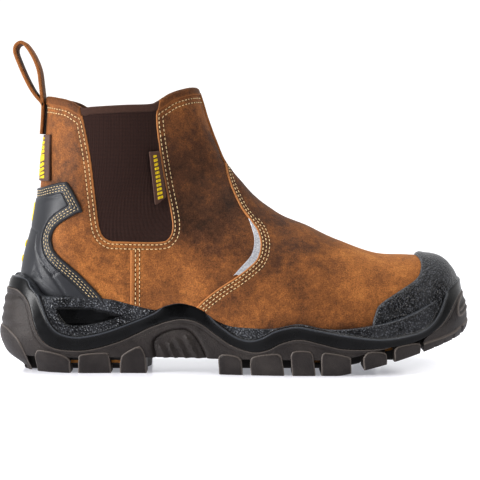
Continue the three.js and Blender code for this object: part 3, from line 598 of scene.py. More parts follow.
# %% Objects from meshes
FAR_FROM_EDGE = 50.0


def add_object(name, points, faces, finishes, numbers=None, sharp=48, finish_index=None):
    """A mesh object from points in mm. numbers are float attributes that the materials read."""
    mesh = bpy.data.meshes.new(name)
    points = np.asarray(points, float) * MM
    mesh.from_pydata(points.tolist(), [], np.asarray(faces).tolist())
    for finish in finishes:
        mesh.materials.append(finish)
    if finish_index is not None:
        mesh.polygons.foreach_set("material_index", np.asarray(finish_index, np.int32))
    for key, values in (numbers or {}).items():
        attribute = mesh.attributes.new(key, "FLOAT", "POINT")
        attribute.data.foreach_set("value", np.asarray(values, np.float32))
    mesh.shade_smooth()
    mesh.set_sharp_from_angle(angle=math.radians(sharp))
    mesh.validate()
    made = bpy.data.objects.new(name, mesh)
    bpy.context.scene.collection.objects.link(made)
    print(name, len(mesh.polygons), "triangles")
    return made


def panel(name, skin, finish, outer, inner, edge=None):
    """A closed piece between two heights over the last. edge is the distance from its cut edge."""
    n = len(skin["p"])
    skin["out"] = np.broadcast_to(outer, n)
    high = skin["p"] + skin["n"] * skin["out"][:, None]
    low = skin["p"] + skin["n"] * np.broadcast_to(inner, n)[:, None]
    points, faces = close_shell(high, low, skin["tri"])
    wear = np.full(n, FAR_FROM_EDGE) if edge is None else edge
    return add_object(name, points, faces, [finish], {"edge_mm": np.tile(wear, 2)})


def add_blocks(name, blocks, finish, sharp=55):
    """Joins closed blocks, each with its points, faces and edge distances, in one object."""
    start, faces = 0, []
    for points, block_faces, _ in blocks:
        faces.append(np.asarray(block_faces) + start)
        start += len(points)
    return add_object(name, np.concatenate([b[0] for b in blocks]), np.concatenate(faces), [finish],
                      {"edge_mm": np.concatenate([b[2] for b in blocks])}, sharp)


def take_result(piece, modifier):
    """Makes a modifier's result the piece's own plain mesh, and removes the modifier."""
    piece.update_tag()
    bpy.context.view_layer.update()
    depsgraph = bpy.context.evaluated_depsgraph_get()
    mesh = bpy.data.meshes.new_from_object(piece.evaluated_get(depsgraph))
    piece.modifiers.remove(modifier)
    old = piece.data
    piece.data = mesh
    bpy.data.meshes.remove(old)


def dress(piece, slot, *nodes):
    """Attaches a finished piece to the root body, and hides the solids that it stands for. slot is not used.
    """
    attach(piece, "root")
    if nodes:
        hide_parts(*nodes)
    return piece




# %% [markdown]
# ## Finishes
# Each finish starts from what the real one is and how its surface was made. Object coordinates are
# metres, so a pattern's scale is 1000 over its size in mm. Every mesh carries edge_mm, its distance
# from a cut or moulded edge, which tells a finish where the real piece is rubbed pale, and where the
# smooth band gets a painted highlight line.

# %% [markdown]
# ## Oiled nubuck
# Nubuck is leather that was sanded to a short nap, then oiled and waxed. Wax sinks in unevenly and
# moves when the leather bends, so the eye sees wide clouds, a finer mottle and a dull, speckled nap.
# The noises have these sizes, and a ramp of browns colours them. The nap is drawn coarser than life,
# 0.8 mm, so that it shows in the picture.

# %% Oiled nubuck leather
CLOUD_MM, MOTTLE_MM, NAP_MM = 22, 4.2, 0.8
CLOUD_SHARE, MOTTLE_SHARE = 0.62, 0.38
RAMP_FROM, RAMP_STEP = 0.22, 0.15

# Side view place of a patch in mm, its full and outer radius, and how much lighter it is
LEATHER_PATCHES = [
    (-24, 122, 12, 62, -0.17), (100, 72, 8, 55, 0.15), (-78, 58, 8, 42, 0.13), (-118, 140, 5, 45, -0.06),
    (30, 100, 10, 60, -0.05), (-28, 52, 6, 40, 0.05),
]


def patch_of(tree, where, x, z, near, far, amount):
    """A soft patch of the side view, in mm: amount in its middle and 0 outside."""
    gap = node(tree, "ShaderNodeVectorMath", {0: where, 1: (x * MM, 0, z * MM)}, operation="DISTANCE")
    return node(tree, "ShaderNodeMapRange", {
        "Value": gap.outputs["Value"], "From Min": near * MM, "From Max": far * MM,
        "To Min": amount, "To Max": 0.0}, interpolation_type="SMOOTHSTEP").outputs[0]


def nubuck(name, colours, raw, placed=True):
    """Nubuck in a ramp of colours, with a raw colour at cut edges, and the boot's patches if placed."""
    made, tree, shader, where = material(name)
    cloud = node(tree, "ShaderNodeTexNoise", {
        "Vector": where, "Scale": 1000 / CLOUD_MM, "Detail": 7, "Roughness": 0.6, "Distortion": 0.3})
    mottle = node(tree, "ShaderNodeTexNoise", {
        "Vector": where, "Scale": 1000 / MOTTLE_MM, "Detail": 5, "Roughness": 0.7})
    nap = node(tree, "ShaderNodeTexNoise", {
        "Vector": where, "Scale": 1000 / NAP_MM, "Detail": 3, "Roughness": 0.75})
    wide = node(tree, "ShaderNodeMath", {0: cloud.outputs["Fac"], 1: CLOUD_SHARE}, operation="MULTIPLY")
    tone = node(tree, "ShaderNodeMath", {0: mottle.outputs["Fac"], 1: MOTTLE_SHARE, 2: wide.outputs[0]},
                operation="MULTIPLY_ADD").outputs[0]
    if placed:
        flat = node(tree, "ShaderNodeVectorMath", {0: where, 1: (1, 0, 1)}, operation="MULTIPLY").outputs[0]
        for spot in LEATHER_PATCHES:
            tone = node(tree, "ShaderNodeMath", {0: tone, 1: patch_of(tree, flat, *spot)}).outputs[0]
    shade = node(tree, "ShaderNodeValToRGB", {"Fac": tone}, stops=[
        (RAMP_FROM + RAMP_STEP * i, linear(colour)) for i, colour in enumerate(colours)])
    fleck = node(tree, "ShaderNodeMapRange", {
        "Value": nap.outputs["Fac"], "From Min": 0.3, "From Max": 0.7, "To Min": 0.5, "To Max": 1.44})
    speckled = node(tree, "ShaderNodeMix", {0: 1.0, 6: shade.outputs["Color"], 7: fleck.outputs[0]},
                    data_type="RGBA", blend_type="MULTIPLY")
    near_edge = node(tree, "ShaderNodeAttribute", attribute_name="edge_mm")
    edge_colour_mix = node(tree, "ShaderNodeMapRange", {
        "Value": near_edge.outputs["Fac"], "From Min": 0.15, "From Max": 1.4, "To Min": 0.85, "To Max": 0.0})
    edged = node(tree, "ShaderNodeMix", {0: edge_colour_mix.outputs[0], 6: speckled.outputs[2], 7: linear(raw)},
                 data_type="RGBA")
    dull = node(tree, "ShaderNodeMapRange", {
        "Value": tone, "From Min": 0.3, "From Max": 0.7, "To Min": 0.5, "To Max": 0.72})
    fine = node(tree, "ShaderNodeBump", {"Height": nap.outputs["Fac"], "Distance": 0.3 * MM, "Strength": 0.6})
    grain = node(tree, "ShaderNodeBump", {
        "Height": mottle.outputs["Fac"], "Distance": 0.9 * MM, "Strength": 0.35, "Normal": fine.outputs[0]})
    fill(tree, shader, {
        "Base Color": edged.outputs[2], "Roughness": dull.outputs[0], "Normal": grain.outputs[0],
        "Sheen Weight": 0.03, "Sheen Roughness": 0.4, "Sheen Tint": linear("#d9a877"),
        "Specular IOR Level": 0.2})
    return made


NUBUCK = nubuck("Oiled nubuck leather", ["#38271d", "#5a3c29", "#815633", "#a16e40", "#bb8750"], "#b78353")
NUBUCK_TRIM = nubuck("Oiled nubuck, folded trim", ["#2c1e16", "#49301f", "#6c4629", "#8a5b34", "#a3703f"],
                     "#8e6038", placed=False)
print("leather patches", len(LEATHER_PATCHES))

# %% [markdown]
# ## Moulded rubber
# All rubber here is moulded, so its texture is the mould's. A Voronoi pattern with the mould's grain
# size gives pebbles, whose tops are painted paler as highlight sparks. Dust dulls it in wide patches,
# and edges go pale: real wear, and on the smooth band a painted highlight line along its lip.
# The cap's pebbles are drawn coarser than life, about 1.2 mm, so that they show in the picture.

# %% Rubbers
DUST_MM = 20


def rubber(name, colour, pale, grain_mm, depth_mm, roughness, coat=0.0, wear=0.6, tops=0.0, shine=0.38,
           dust_most=0.22):
    """Moulded rubber. wear, tops and dust_most say how pale its edges, its pebbles' tops and its dust go:
    edges show wear, and on the smooth band a painted highlight; the tops get painted highlight sparks.
    """
    made, tree, shader, where = material(name)
    cells = node(tree, "ShaderNodeTexVoronoi", {"Vector": where, "Scale": 1000 / grain_mm, "Randomness": 1.0},
                 feature="SMOOTH_F1")
    dust = node(tree, "ShaderNodeTexNoise", {
        "Vector": where, "Scale": 1000 / DUST_MM, "Detail": 5, "Roughness": 0.6})
    near_edge = node(tree, "ShaderNodeAttribute", attribute_name="edge_mm")
    # Edges go pale: real wear on most rubbers, and a painted highlight line along the smooth band's lip
    edge_colour_mix = node(tree, "ShaderNodeMapRange", {
        "Value": near_edge.outputs["Fac"], "From Min": 0.2, "From Max": 1.1, "To Min": wear, "To Max": 0.0})
    dusty = node(tree, "ShaderNodeMapRange", {
        "Value": dust.outputs["Fac"], "From Min": 0.4, "From Max": 0.75, "To Min": 0.0, "To Max": dust_most})
    # Pebble tops go paler by tops: painted highlight sparks
    pebble_glint_amount = node(tree, "ShaderNodeMapRange", {
        "Value": cells.outputs["Distance"], "From Min": 0.12, "From Max": 0.42,
        "To Min": tops, "To Max": 0.0})
    light = node(tree, "ShaderNodeMath", {0: pebble_glint_amount.outputs[0], 1: dusty.outputs[0]}, operation="ADD")
    both = node(tree, "ShaderNodeMath", {0: edge_colour_mix.outputs[0], 1: light.outputs[0]}, operation="MAXIMUM")
    tone = node(tree, "ShaderNodeMix", {0: both.outputs[0], 6: linear(colour), 7: linear(pale)},
                data_type="RGBA")
    dull = node(tree, "ShaderNodeMapRange", {
        "Value": dust.outputs["Fac"], "From Min": 0.3, "From Max": 0.7,
        "To Min": roughness - 0.06, "To Max": roughness + 0.08})
    grain = node(tree, "ShaderNodeBump", {
        "Height": cells.outputs["Distance"], "Distance": depth_mm * MM, "Strength": 0.8})
    fill(tree, shader, {
        "Base Color": tone.outputs[2], "Roughness": dull.outputs[0], "Normal": grain.outputs[0],
        "IOR": 1.5, "Specular IOR Level": shine, "Coat Weight": coat, "Coat Roughness": 0.35})
    return made


# Deep leather grain: black hollows, and small grey sparks painted on the pebbles' tops as highlights
CAP_RUBBER = rubber("Moulded rubber, leather grain", "#131417", "#7a7d84", 1.25, 1.1, 0.3,
                    coat=0.1, wear=0.4, tops=0.45)
# A satin skin: broad grey highlights without any grain
COUNTER_RUBBER = rubber("Moulded polyurethane, satin", "#28292d", "#3b3e43", 0.5, 0.03, 0.42, coat=0.1)
# Smooth and nearly black, with a thin light line along its lip: a painted highlight, drawn in the pale edge
# colour
BAND_RUBBER = rubber("Moulded rubber, smooth", "#030304", "#6c7077", 0.5, 0.02, 0.27,
                     coat=0.05, wear=0.5, shine=0.26, dust_most=0.05)
# Matt, brown-grey and dusty, with pale edges on every lug
TREAD_RUBBER = rubber("Vulcanised nitrile rubber", "#2a2524", "#716a65", 0.9, 0.3, 0.5, wear=0.9)
print("rubbers", 4)

# %% [markdown]
# ## Textiles, thread and small parts
# A cloth shows its threads as two crossed waves under a little fluff, drawn coarser than the real
# weave, so that they show in the picture. Thread, tape and small mouldings get fine specks, so that
# no part is one flat colour.

# %% Textiles, thread and small parts
FLUFF_MM, SPECK_MM, GRIT_MM = 1.0, 0.9, 1.5
WAVES_PER_PITCH = 2 / 6.2832


def textile(name, colour, second, pitch_mm, roughness=0.85, sheen=0.1, axes="XZ"):
    """A woven or knitted cloth of two colours. axes are the directions that its threads cross in."""
    made, tree, shader, where = material(name)
    waves = [node(tree, "ShaderNodeTexWave", {
        "Vector": where, "Scale": 1000 / pitch_mm * WAVES_PER_PITCH, "Distortion": 0.6, "Detail": 1.0},
        bands_direction=axis).outputs["Fac"] for axis in axes]
    weave = node(tree, "ShaderNodeMath", {0: waves[0], 1: waves[1]}, operation="MULTIPLY")
    fluff = node(tree, "ShaderNodeTexNoise", {"Vector": where, "Scale": 1000 / FLUFF_MM, "Detail": 3})
    mixed = node(tree, "ShaderNodeMath", {0: fluff.outputs["Fac"], 1: 0.5, 2: weave.outputs[0]},
                 operation="MULTIPLY_ADD")
    tone = node(tree, "ShaderNodeMix", {0: mixed.outputs[0], 6: linear(second), 7: linear(colour)},
                data_type="RGBA")
    relief = node(tree, "ShaderNodeBump", {"Height": mixed.outputs[0], "Distance": 0.3 * MM, "Strength": 0.6})
    fill(tree, shader, {"Base Color": tone.outputs[2], "Normal": relief.outputs[0],
                        "Roughness": roughness, "Sheen Weight": sheen})
    return made


def plain(name, colour, roughness, spot="#000000", spots=0.25, metallic=0.0):
    """A small part of one colour, with fine specks of another."""
    made, tree, shader, where = material(name)
    speck = node(tree, "ShaderNodeTexNoise", {"Vector": where, "Scale": 1000 / SPECK_MM, "Detail": 3})
    amount = node(tree, "ShaderNodeMapRange", {
        "Value": speck.outputs["Fac"], "From Min": 0.35, "From Max": 0.7, "To Min": 0.0, "To Max": spots})
    tone = node(tree, "ShaderNodeMix", {0: amount.outputs[0], 6: linear(colour), 7: linear(spot)},
                data_type="RGBA")
    relief = node(tree, "ShaderNodeBump", {
        "Height": speck.outputs["Fac"], "Distance": 0.1 * MM, "Strength": 0.4})
    fill(tree, shader, {"Base Color": tone.outputs[2], "Normal": relief.outputs[0],
                        "Roughness": roughness, "Metallic": metallic})
    return made


ELASTIC = textile("Ribbed elastic webbing", "#452a22", "#160c0a", 0.9, 0.95, 0.0)
WEBBING = textile("Folded webbing, brown", "#5c4034", "#2c1d17", 0.8, 0.9, 0.0)
LINING = textile("Brushed mesh lining", "#2b2725", "#151211", 1.2)
FOOTBED = textile("Felted footbed cloth", "#302c2a", "#1c1918", 1.0)
BROWN_WEAVE = textile("Woven label tape, brown", "#6a4c3f", "#3a2820", 0.7)
YELLOW_WEAVE = textile("Woven label yarn, yellow", "#dcc41c", "#a18b16", 0.9, axes="YZ")
THREAD = plain("Bonded nylon thread, cream", "#d8c39a", 0.5, "#7d6440", 0.5)
# Painted shade: a dark finish for beads that stand for the shadow in each needle hole
NEEDLE_HOLE_SHADE = plain("Needle hole shadow", "#120b07", 0.9)
REFLECTIVE = plain("Reflective tape", "#c6c6c8", 0.32, "#5b6474", 0.6, 0.25)
YELLOW_PLASTIC = plain("Moulded polyurethane, yellow", "#dcc016", 0.4, "#95800f", 0.3)

# %% [markdown]
# ## Amber pods
# Little of the amber shows between the lugs: only a thin line in the shade of the groove. The pods'
# solids are kept as they are, so their finish is amber only in a band at that height, and painted
# dark round it as the groove's shade; the band rises with the toe.

# %% Amber rubber
AMBER_BAND_Z, AMBER_BAND_HALF, AMBER_RISE_FROM, AMBER_RISE = 0.0073, 0.0009, 0.068, -0.233


def pod_rubber():
    """Amber rubber painted dark as the groove's shade, except a thin amber band."""
    made, tree, shader, where = material("Moulded rubber, amber over dark")
    axes = node(tree, "ShaderNodeSeparateXYZ", {0: where}).outputs
    ahead = node(tree, "ShaderNodeMath", {0: axes["X"], 1: AMBER_RISE_FROM}, operation="SUBTRACT")
    forward = node(tree, "ShaderNodeMath", {0: ahead.outputs[0], 1: 0.0}, operation="MAXIMUM")
    rise = node(tree, "ShaderNodeMath", {0: forward.outputs[0], 1: AMBER_RISE, 2: axes["Z"]},
                operation="MULTIPLY_ADD")
    band = node(tree, "ShaderNodeMath", {0: rise.outputs[0], 1: AMBER_BAND_Z, 2: AMBER_BAND_HALF},
                operation="COMPARE")
    grit = node(tree, "ShaderNodeTexNoise", {"Vector": where, "Scale": 1000 / GRIT_MM, "Detail": 3})
    amber = node(tree, "ShaderNodeMix", {0: grit.outputs["Fac"], 6: linear("#c98a2b"), 7: linear("#7a4c12")},
                 data_type="RGBA")
    # Outside the band the pod is painted dark: painted shade of the groove
    tone = node(tree, "ShaderNodeMix", {0: band.outputs[0], 6: linear("#1c1918"), 7: amber.outputs[2]},
                data_type="RGBA")
    fill(tree, shader, {"Base Color": tone.outputs[2], "Roughness": 0.55})
    return made


AMBER_RUBBER = pod_rubber()
print("finishes", len(bpy.data.materials))

# %% [markdown]
# ## The upper's leather
# The quarters run from the collar to the sole and leave a window for the elastic gore. The vamp lies
# over them with a stitched edge. One skin of the whole last is measured once against every outline,
# and each panel is then trimmed from it.

# %% Outlines and the measured skin
collar_line = outline(COLLAR_EDGE)
gore_line = outline(GORE_EDGE)
vamp_line = outline(VAMP_EDGE)
cap_line = outline(CAP_EDGE)
counter_line = outline(COUNTER_EDGE)
stripe_line = outline(STRIPE_EDGE)
midsole_line = outline(MIDSOLE_TOP, over_tread)
wave_line = outline(WAVE, over_tread)
band_line = outline(BAND_TOP, over_tread)

VAMP_CLOSING = [(vamp_line[-1, 0], -FAR), (FAR, -FAR), (FAR, vamp_line[0, 1])]
CAP_CLOSING = [(cap_line[-1, 0], FAR), (FAR, FAR), (FAR, -FAR), (cap_line[0, 0], -FAR)]
COUNTER_CLOSING = [(counter_line[-1, 0], -FAR), (-FAR, -FAR), (-FAR, counter_line[0, 1])]


def measured(skin):
    """Adds the distance from each outline to a skin."""
    skin["collar"] = below(skin, collar_line)
    skin["gore"] = -measure(skin, gore_line)
    skin["vamp"] = measure(skin, vamp_line, VAMP_CLOSING)
    skin["cap"] = measure(skin, cap_line, CAP_CLOSING)
    skin["counter"] = measure(skin, counter_line, COUNTER_CLOSING)
    skin["ground"] = above(skin, midsole_line)
    skin["bed"] = skin["p"][:, 2] - bed_height(skin["p"][:, 0])
    return skin


ROWS, COLUMNS = ((220, 196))
whole = measured(last_skin((0, U_TOP), (0, 2 * math.pi), ROWS, COLUMNS))
print("skin", len(whole["p"]), "points")

# %% Soft troughs and ridges where the leather gives
# side view line (x, h), depth in mm, width in mm
CREASES = [
    ([(0.395, 1.5), (0.41, 1.2), (0.43, 0.95)], 0.5, 6),
    ([(0.46, 1.0), (0.455, 0.8), (0.47, 0.62)], 0.45, 7),
    ([(0.40, 0.62), (0.44, 0.5), (0.47, 0.45)], 0.35, 6),
    ([(0.60, 0.72), (0.63, 0.5), (0.64, 0.32)], 0.35, 8),
    ([(0.68, 0.6), (0.70, 0.42), (0.70, 0.25)], 0.3, 8),
    ([(0.14, 1.3), (0.16, 1.0)], 0.35, 5),
    ([(0.17, 0.6), (0.20, 0.42), (0.25, 0.3)], 0.35, 6),
    ([(0.375, 0.35), (0.40, 0.25)], 0.3, 6),
]


def give(skin):
    """The leather's soft relief: each crease is a trough with a low ridge on both sides."""
    height = np.zeros(len(skin["p"]))
    flat = skin["p"][:, [0, 2]]
    for rows, depth, width in CREASES:
        distance, _ = to_line(flat, outline(rows))
        t = distance / width
        height += depth * (0.5 * np.exp(-(t - 1.5) ** 2 / 0.35) - np.exp(-t ** 2))
    return height


def stitch_cuts(rows, near):
    """The cuts that stitch rows need: on each row and a little to both sides of it."""
    return [level for row in rows for level in (row - near, row, row + near)]


def furrows(distance, rows, depth, width):
    """Narrow furrows at these distances from an edge, such as stitch rows pull into leather."""
    return -depth * sum(bump(distance, row, width) for row in rows)


print("creases", len(CREASES))

# %% [markdown]
# ## Quarters, vamp and lining
# The quarters' top edge is hidden in the collar's fold, and their lower end under the vamp. The vamp
# lies a leather's thickness higher. The lining is one thin sheet on the inside of both.


# %% Quarters
GORE_ROWS = (2.0, 4.9)
UNDER_VAMP, LEATHER_FOOT, LEATHER_BACK = 8, 0.5, -1.3

skin = trim(trim(whole, "collar"), "gore", 0, rounded(1.0))
skin = trim_to(skin, "over", UNDER_VAMP - skin["vamp"])
skin = trim(trim(skin, "ground", -2), "bed", LEATHER_FOOT)
skin["seam"] = np.minimum(skin["collar"] - COLLAR_FOLD, skin["gore"])
skin = split(skin, "seam", *stitch_cuts(GORE_ROWS, 0.6))
lift = give(skin) + furrows(skin["seam"], GORE_ROWS, 0.25, 0.55)
lift = lift * smooth(0, 4, skin["gore"]) + (rounding(skin["gore"], 1.0) - 1) * 1.1
dress(panel("quarters", skin, NUBUCK, lift, LEATHER_BACK, skin["gore"]), "leather", "upper")
quarter_skin = skin

# %% Vamp
VAMP_ROWS = (1.9, 4.0, 6.1)
UNDER_CAP = 9

skin = trim(whole, "vamp", 0, rounded(1.1))
skin = trim(trim_to(skin, "under", UNDER_CAP - skin["cap"]), "ground", -0.6)
skin = split(skin, "vamp", *stitch_cuts(VAMP_ROWS, 0.55))
lift = give(skin) + furrows(skin["vamp"], VAMP_ROWS, 0.25, 0.5)
lift = VAMP_STEP * rounding(skin["vamp"] + 0.15, 1.25) + lift * smooth(0, 4, skin["vamp"])
dress(panel("vamp", skin, NUBUCK, lift, -0.4, skin["vamp"]), "leather")
vamp_skin = skin

# %% Lining
LINING_FACE, LINING_BACK = -1.35, -2.4

skin = trim(measured(last_skin((0, U_TOP), (0, 2 * math.pi), 120, 110)), "collar", 1.0)
skin = trim(trim_to(skin, "window", skin["gore"] + 1.0), "bed", LEATHER_FOOT)
dress(panel("lining", skin, LINING, LINING_FACE, LINING_BACK), "leather")

# %% Collar fold
FOLD_TURN, FOLD_MIDDLE = 1.7, -1.2

skin = trim(whole, "collar", 0, rounded(FOLD_TURN))
skin = trim_to(skin, "drop", COLLAR_FOLD - skin["collar"], rounded(0.8))
skin = trim_to(skin, "clear", skin["gore"] - 0.2, rounded(0.9))
swell = rounding(skin["collar"], FOLD_TURN) * rounding(skin["clear"], 0.9)
outer = FOLD_MIDDLE + (0.95 - FOLD_MIDDLE) * swell - 0.5 * (1 - rounding(skin["drop"], 0.8))
inner = FOLD_MIDDLE - 1.9 * swell
edge = np.minimum(skin["drop"], skin["clear"])
dress(panel("collar_fold", skin, NUBUCK_TRIM, outer, inner, edge), "leather")

# %% Side seams and front piping
PIPING_FOOT, PIPING_BACK = 90, -60


def ridge(name, key, half, height, skin, finish):
    """A narrow rounded ridge where a number of the skin is near zero."""
    skin = split(skin, key, *[sign * cut for cut in rounded(half) for sign in (-1, 1)], 0)
    skin = trim_to(skin, key + "_in", half - np.abs(skin[key]), rounded(half))
    lift = height * rounding(skin[key + "_in"], half)
    return panel(name, skin, finish, lift, -0.6, skin[key + "_in"])


def near_zero(skin, key):
    """The triangles that come within a few mm of the line where a number is zero."""
    return np.abs(skin[key][skin["tri"]]).min(1) < 4


seam_x = float(place(SIDE_SEAM_AT))
skin = trim_to({**whole, "line": whole["p"][:, 0] - seam_x}, "under_gore", whole["gore"] - 5.6)
skin = trim(skin, "ground", -0.3)
skin = trim_to(skin, "low", over_bed(seam_x, 0.55) - skin["p"][:, 2])
skin = keep(skin, near_zero(skin, "line"))
dress(ridge("side_seams", "line", 1.2, 0.6, skin, NUBUCK), "leather")

skin = trim_to({**whole, "line": whole["p"][:, 1]}, "behind", 2.0 - whole["vamp"])
skin = trim(trim(skin, "collar", COLLAR_FOLD - 1.5), "bed", PIPING_FOOT)
skin = keep(skin, near_zero(skin, "line") & (skin["p"][skin["tri"], 0].mean(1) > PIPING_BACK))
dress(ridge("front_piping", "line", 1.7, 1.3, skin, NUBUCK_TRIM), "leather")

# %% [markdown]
# ## Rubber overlays
# The counter is moulded polyurethane with three rows of stitches along its edge, and the toe cap is
# grained rubber bonded over the vamp. Both are thicker shells over the same last.

# %% Heel counter
COUNTER_ROWS = (2.2, 3.9, 5.6)
COUNTER_GROOVES = [
    ([(0.087, 0.747), (0.112, 0.759), (0.141, 0.771)], 0.5, 0.8),
    ([(0.04, 0.60), (0.071, 0.583), (0.084, 0.565), (0.094, 0.553)], 0.45, 0.7),
    ([(0.092, 0.541), (0.090, 0.500), (0.090, 0.458), (0.094, 0.423), (0.100, 0.387), (0.113, 0.340),
      (0.127, 0.292), (0.148, 0.203), (0.165, 0.12)], 0.6, 0.8),
    ([(0.112, 0.42), (0.104, 0.405), (0.098, 0.395)], 0.45, 0.6),
    ([(0.139, 0.335), (0.131, 0.318), (0.124, 0.308)], 0.45, 0.6),
]
GRIP_PATCHES = [
    [(0.088, 0.367), (0.103, 0.277), (0.076, 0.277)],
    [(0.106, 0.406), (0.132, 0.326), (0.129, 0.305), (0.122, 0.305), (0.099, 0.377)],
]


def counter_relief(skin):
    """Grooves and finely pimpled grip patches moulded into the counter."""
    flat = skin["p"][:, [0, 2]]
    height = np.zeros(len(flat))
    for rows, depth, width in COUNTER_GROOVES:
        distance, _ = to_line(flat, outline(rows))
        height -= depth * bump(distance, 0, width)
    for rows in GRIP_PATCHES:
        corners = np.array(rows)
        x = place(corners[:, 0])
        inset = measure(skin, np.stack([x, over_bed(x, corners[:, 1])], 1))
        pimples = 0.5 + 0.5 * np.cos(flat[:, 0] * 3.6) * np.cos(flat[:, 1] * 3.6)
        height += smooth(-0.4, 0.3, inset) * (0.3 * pimples - 0.45)
    return height


SHELL_EDGE, FIELD_EDGE = 1.3, 6.9
fine_rows = ((158, 176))
skin = trim(measured(last_skin((9.5, 18.6), (-1.75, 1.75), *fine_rows)), "counter", 0, rounded(SHELL_EDGE))
skin = split(trim(skin, "ground", -6), "counter", *stitch_cuts(COUNTER_ROWS, 0.45))
skin = split(skin, "counter", 6.5, FIELD_EDGE, 7.2, 7.5)
inset = skin["counter"]
rim = 0.4 * bump(inset, 1.0, 0.6)
field = 0.45 * smooth(FIELD_EDGE, 7.5, inset) - 0.25 * bump(inset, 6.8, 0.35)
relief = counter_relief(skin) + furrows(inset, COUNTER_ROWS, 0.3, 0.4)
lift = 0.2 + 1.7 * rounding(inset + 0.1, 1.4) + relief + rim + field
dress(panel("heel_counter_shell", skin, COUNTER_RUBBER, lift, 0.0, inset), "counter_shell", "heel_counter")
counter_skin = skin

# %% Toe cap
CAP_EDGE_RADIUS = 2.4

skin = trim(trim(whole, "cap", 0, rounded(CAP_EDGE_RADIUS)), "ground", -4)
lift = 1.35 + 1.85 * rounding(skin["cap"] + 0.1, 2.5) + 0.5 * bump(skin["cap"], 3.2, 1.8)
dress(panel("toe_cap_shell", skin, CAP_RUBBER, lift, 1.0, skin["cap"]), "cap_rubber", "toe_cap")

# %% [markdown]
# ## Elastic gores
# Gore elastic is woven with rubber cords, which show as fine upright ribs. The ribs follow a rule, so
# a Geometry Nodes tree raises them: it reads how far each point lies across the web and moves it out
# by a wave. The top of the web is folded into a plain band.

# %% Rib tree
def group_with(name, sockets):
    """An empty Geometry Nodes tree with named inputs."""
    tree = bpy.data.node_groups.new(name, "GeometryNodeTree")
    tree.interface.new_socket("Geometry", in_out="INPUT", socket_type="NodeSocketGeometry")
    for label, kind in sockets.items():
        tree.interface.new_socket(label, in_out="INPUT", socket_type=kind)
    tree.interface.new_socket("Geometry", in_out="OUTPUT", socket_type="NodeSocketGeometry")
    return tree, tree.nodes.new("NodeGroupInput").outputs, tree.nodes.new("NodeGroupOutput").inputs


def run_tree(source, tree, values):
    """Runs a tree on an object, and keeps its result as a plain mesh."""
    modifier = source.modifiers.new(tree.name, "NODES")
    modifier.node_group = tree
    for item in tree.interface.items_tree:
        if item.in_out == "INPUT" and item.name in values:
            modifier[item.identifier] = values[item.name]
    take_result(source, modifier)


def rib_tree():
    """Moves each point of the web out by a wave, which fades where the web is folded."""
    tree, given, result = group_with("Ribbing", {
        "Height": "NodeSocketFloat", "Web": "NodeSocketMaterial"})
    across = node(tree, "GeometryNodeInputNamedAttribute", {"Name": "rib_phase"}, data_type="FLOAT")
    fade = node(tree, "GeometryNodeInputNamedAttribute", {"Name": "rib_show"}, data_type="FLOAT")
    wave = node(tree, "ShaderNodeMath", {0: across.outputs["Attribute"]}, operation="COSINE")
    high = node(tree, "ShaderNodeMath", {0: wave.outputs[0], 1: given["Height"]}, operation="MULTIPLY")
    shown = node(tree, "ShaderNodeMath", {0: high.outputs[0], 1: fade.outputs["Attribute"]},
                 operation="MULTIPLY")
    facing = node(tree, "GeometryNodeInputNormal")
    push = node(tree, "ShaderNodeVectorMath", {0: facing.outputs["Normal"], "Scale": shown.outputs[0]},
                operation="SCALE")
    moved = node(tree, "GeometryNodeSetPosition", {"Geometry": given["Geometry"], "Offset": push.outputs[0]})
    real = node(tree, "GeometryNodeRealizeInstances", {"Geometry": moved.outputs[0]})
    done = node(tree, "GeometryNodeSetMaterial", {"Geometry": real.outputs[0], "Material": given["Web"]})
    tree.links.new(done.outputs[0], result["Geometry"])
    return tree


ribbing = rib_tree()
print("ribbing tree", len(ribbing.nodes), "nodes")

# %% Gores
RIBS, RIB_HEIGHT = 64, 0.16
GORE_FROM, GORE_TO = math.radians(42), math.radians(150)
GORE_HEM = 3.2
FOLD_FOOT = COLLAR_FOLD - 0.4

gore_columns = RIBS * 3 + 1
span = GORE_TO - GORE_FROM
for side, first in (("outer", GORE_FROM), ("inner", 2 * math.pi - GORE_TO)):
    skin = last_skin((10.5, U_TOP), (first, first + span), 52, gore_columns)
    skin["collar"] = below(skin, collar_line)
    skin = trim(trim_to(skin, "web", measure(skin, gore_line) + GORE_HEM), "collar", 0, [0.1, 0.35, 0.8])
    skin["fold"] = FOLD_FOOT - skin["collar"]
    skin = split(skin, "collar", FOLD_FOOT)
    lift = -0.7 - (1 - rounding(skin["collar"], 1.0)) * 0.4
    gore = panel("elastic_gore_" + side, skin, ELASTIC, lift, -2.2)
    top = split(trim(skin, "fold", 0, rounded(1.2)), "collar", 1.4)
    lift = -0.8 + 1.1 * rounding(top["collar"], 1.5) * rounding(top["fold"], 1.2)
    dress(panel("gore_binding_" + side, top, WEBBING, lift, -1.7), "elastic")
    phase = (skin["angle"] - first) / span * RIBS * 2 * math.pi
    show = smooth(FOLD_FOOT, FOLD_FOOT + 1, skin["collar"])
    for key, values in (("rib_phase", phase), ("rib_show", show)):
        attribute = gore.data.attributes.new(key, "FLOAT", "POINT")
        attribute.data.foreach_set("value", np.tile(values, 2).astype(np.float32))
    run_tree(gore, ribbing, {"Height": RIB_HEIGHT * MM, "Web": ELASTIC})
    dress(gore, "elastic", "gore_" + side)

# %% [markdown]
# ## Strips, tags and small parts
# A reflective strip shows between quarter and vamp. The woven tags are sewn in at the gore and down
# the back, and stay plain here. Small yellow studs and a bar are moulded on the counter's back.

# %% Reflective strips
def one_side(skin, sign):
    """The outer half of a skin where the sign is -1, and the inner half where it is 1."""
    return keep(skin, sign * skin["p"][skin["tri"], 1].mean(1) > 0)


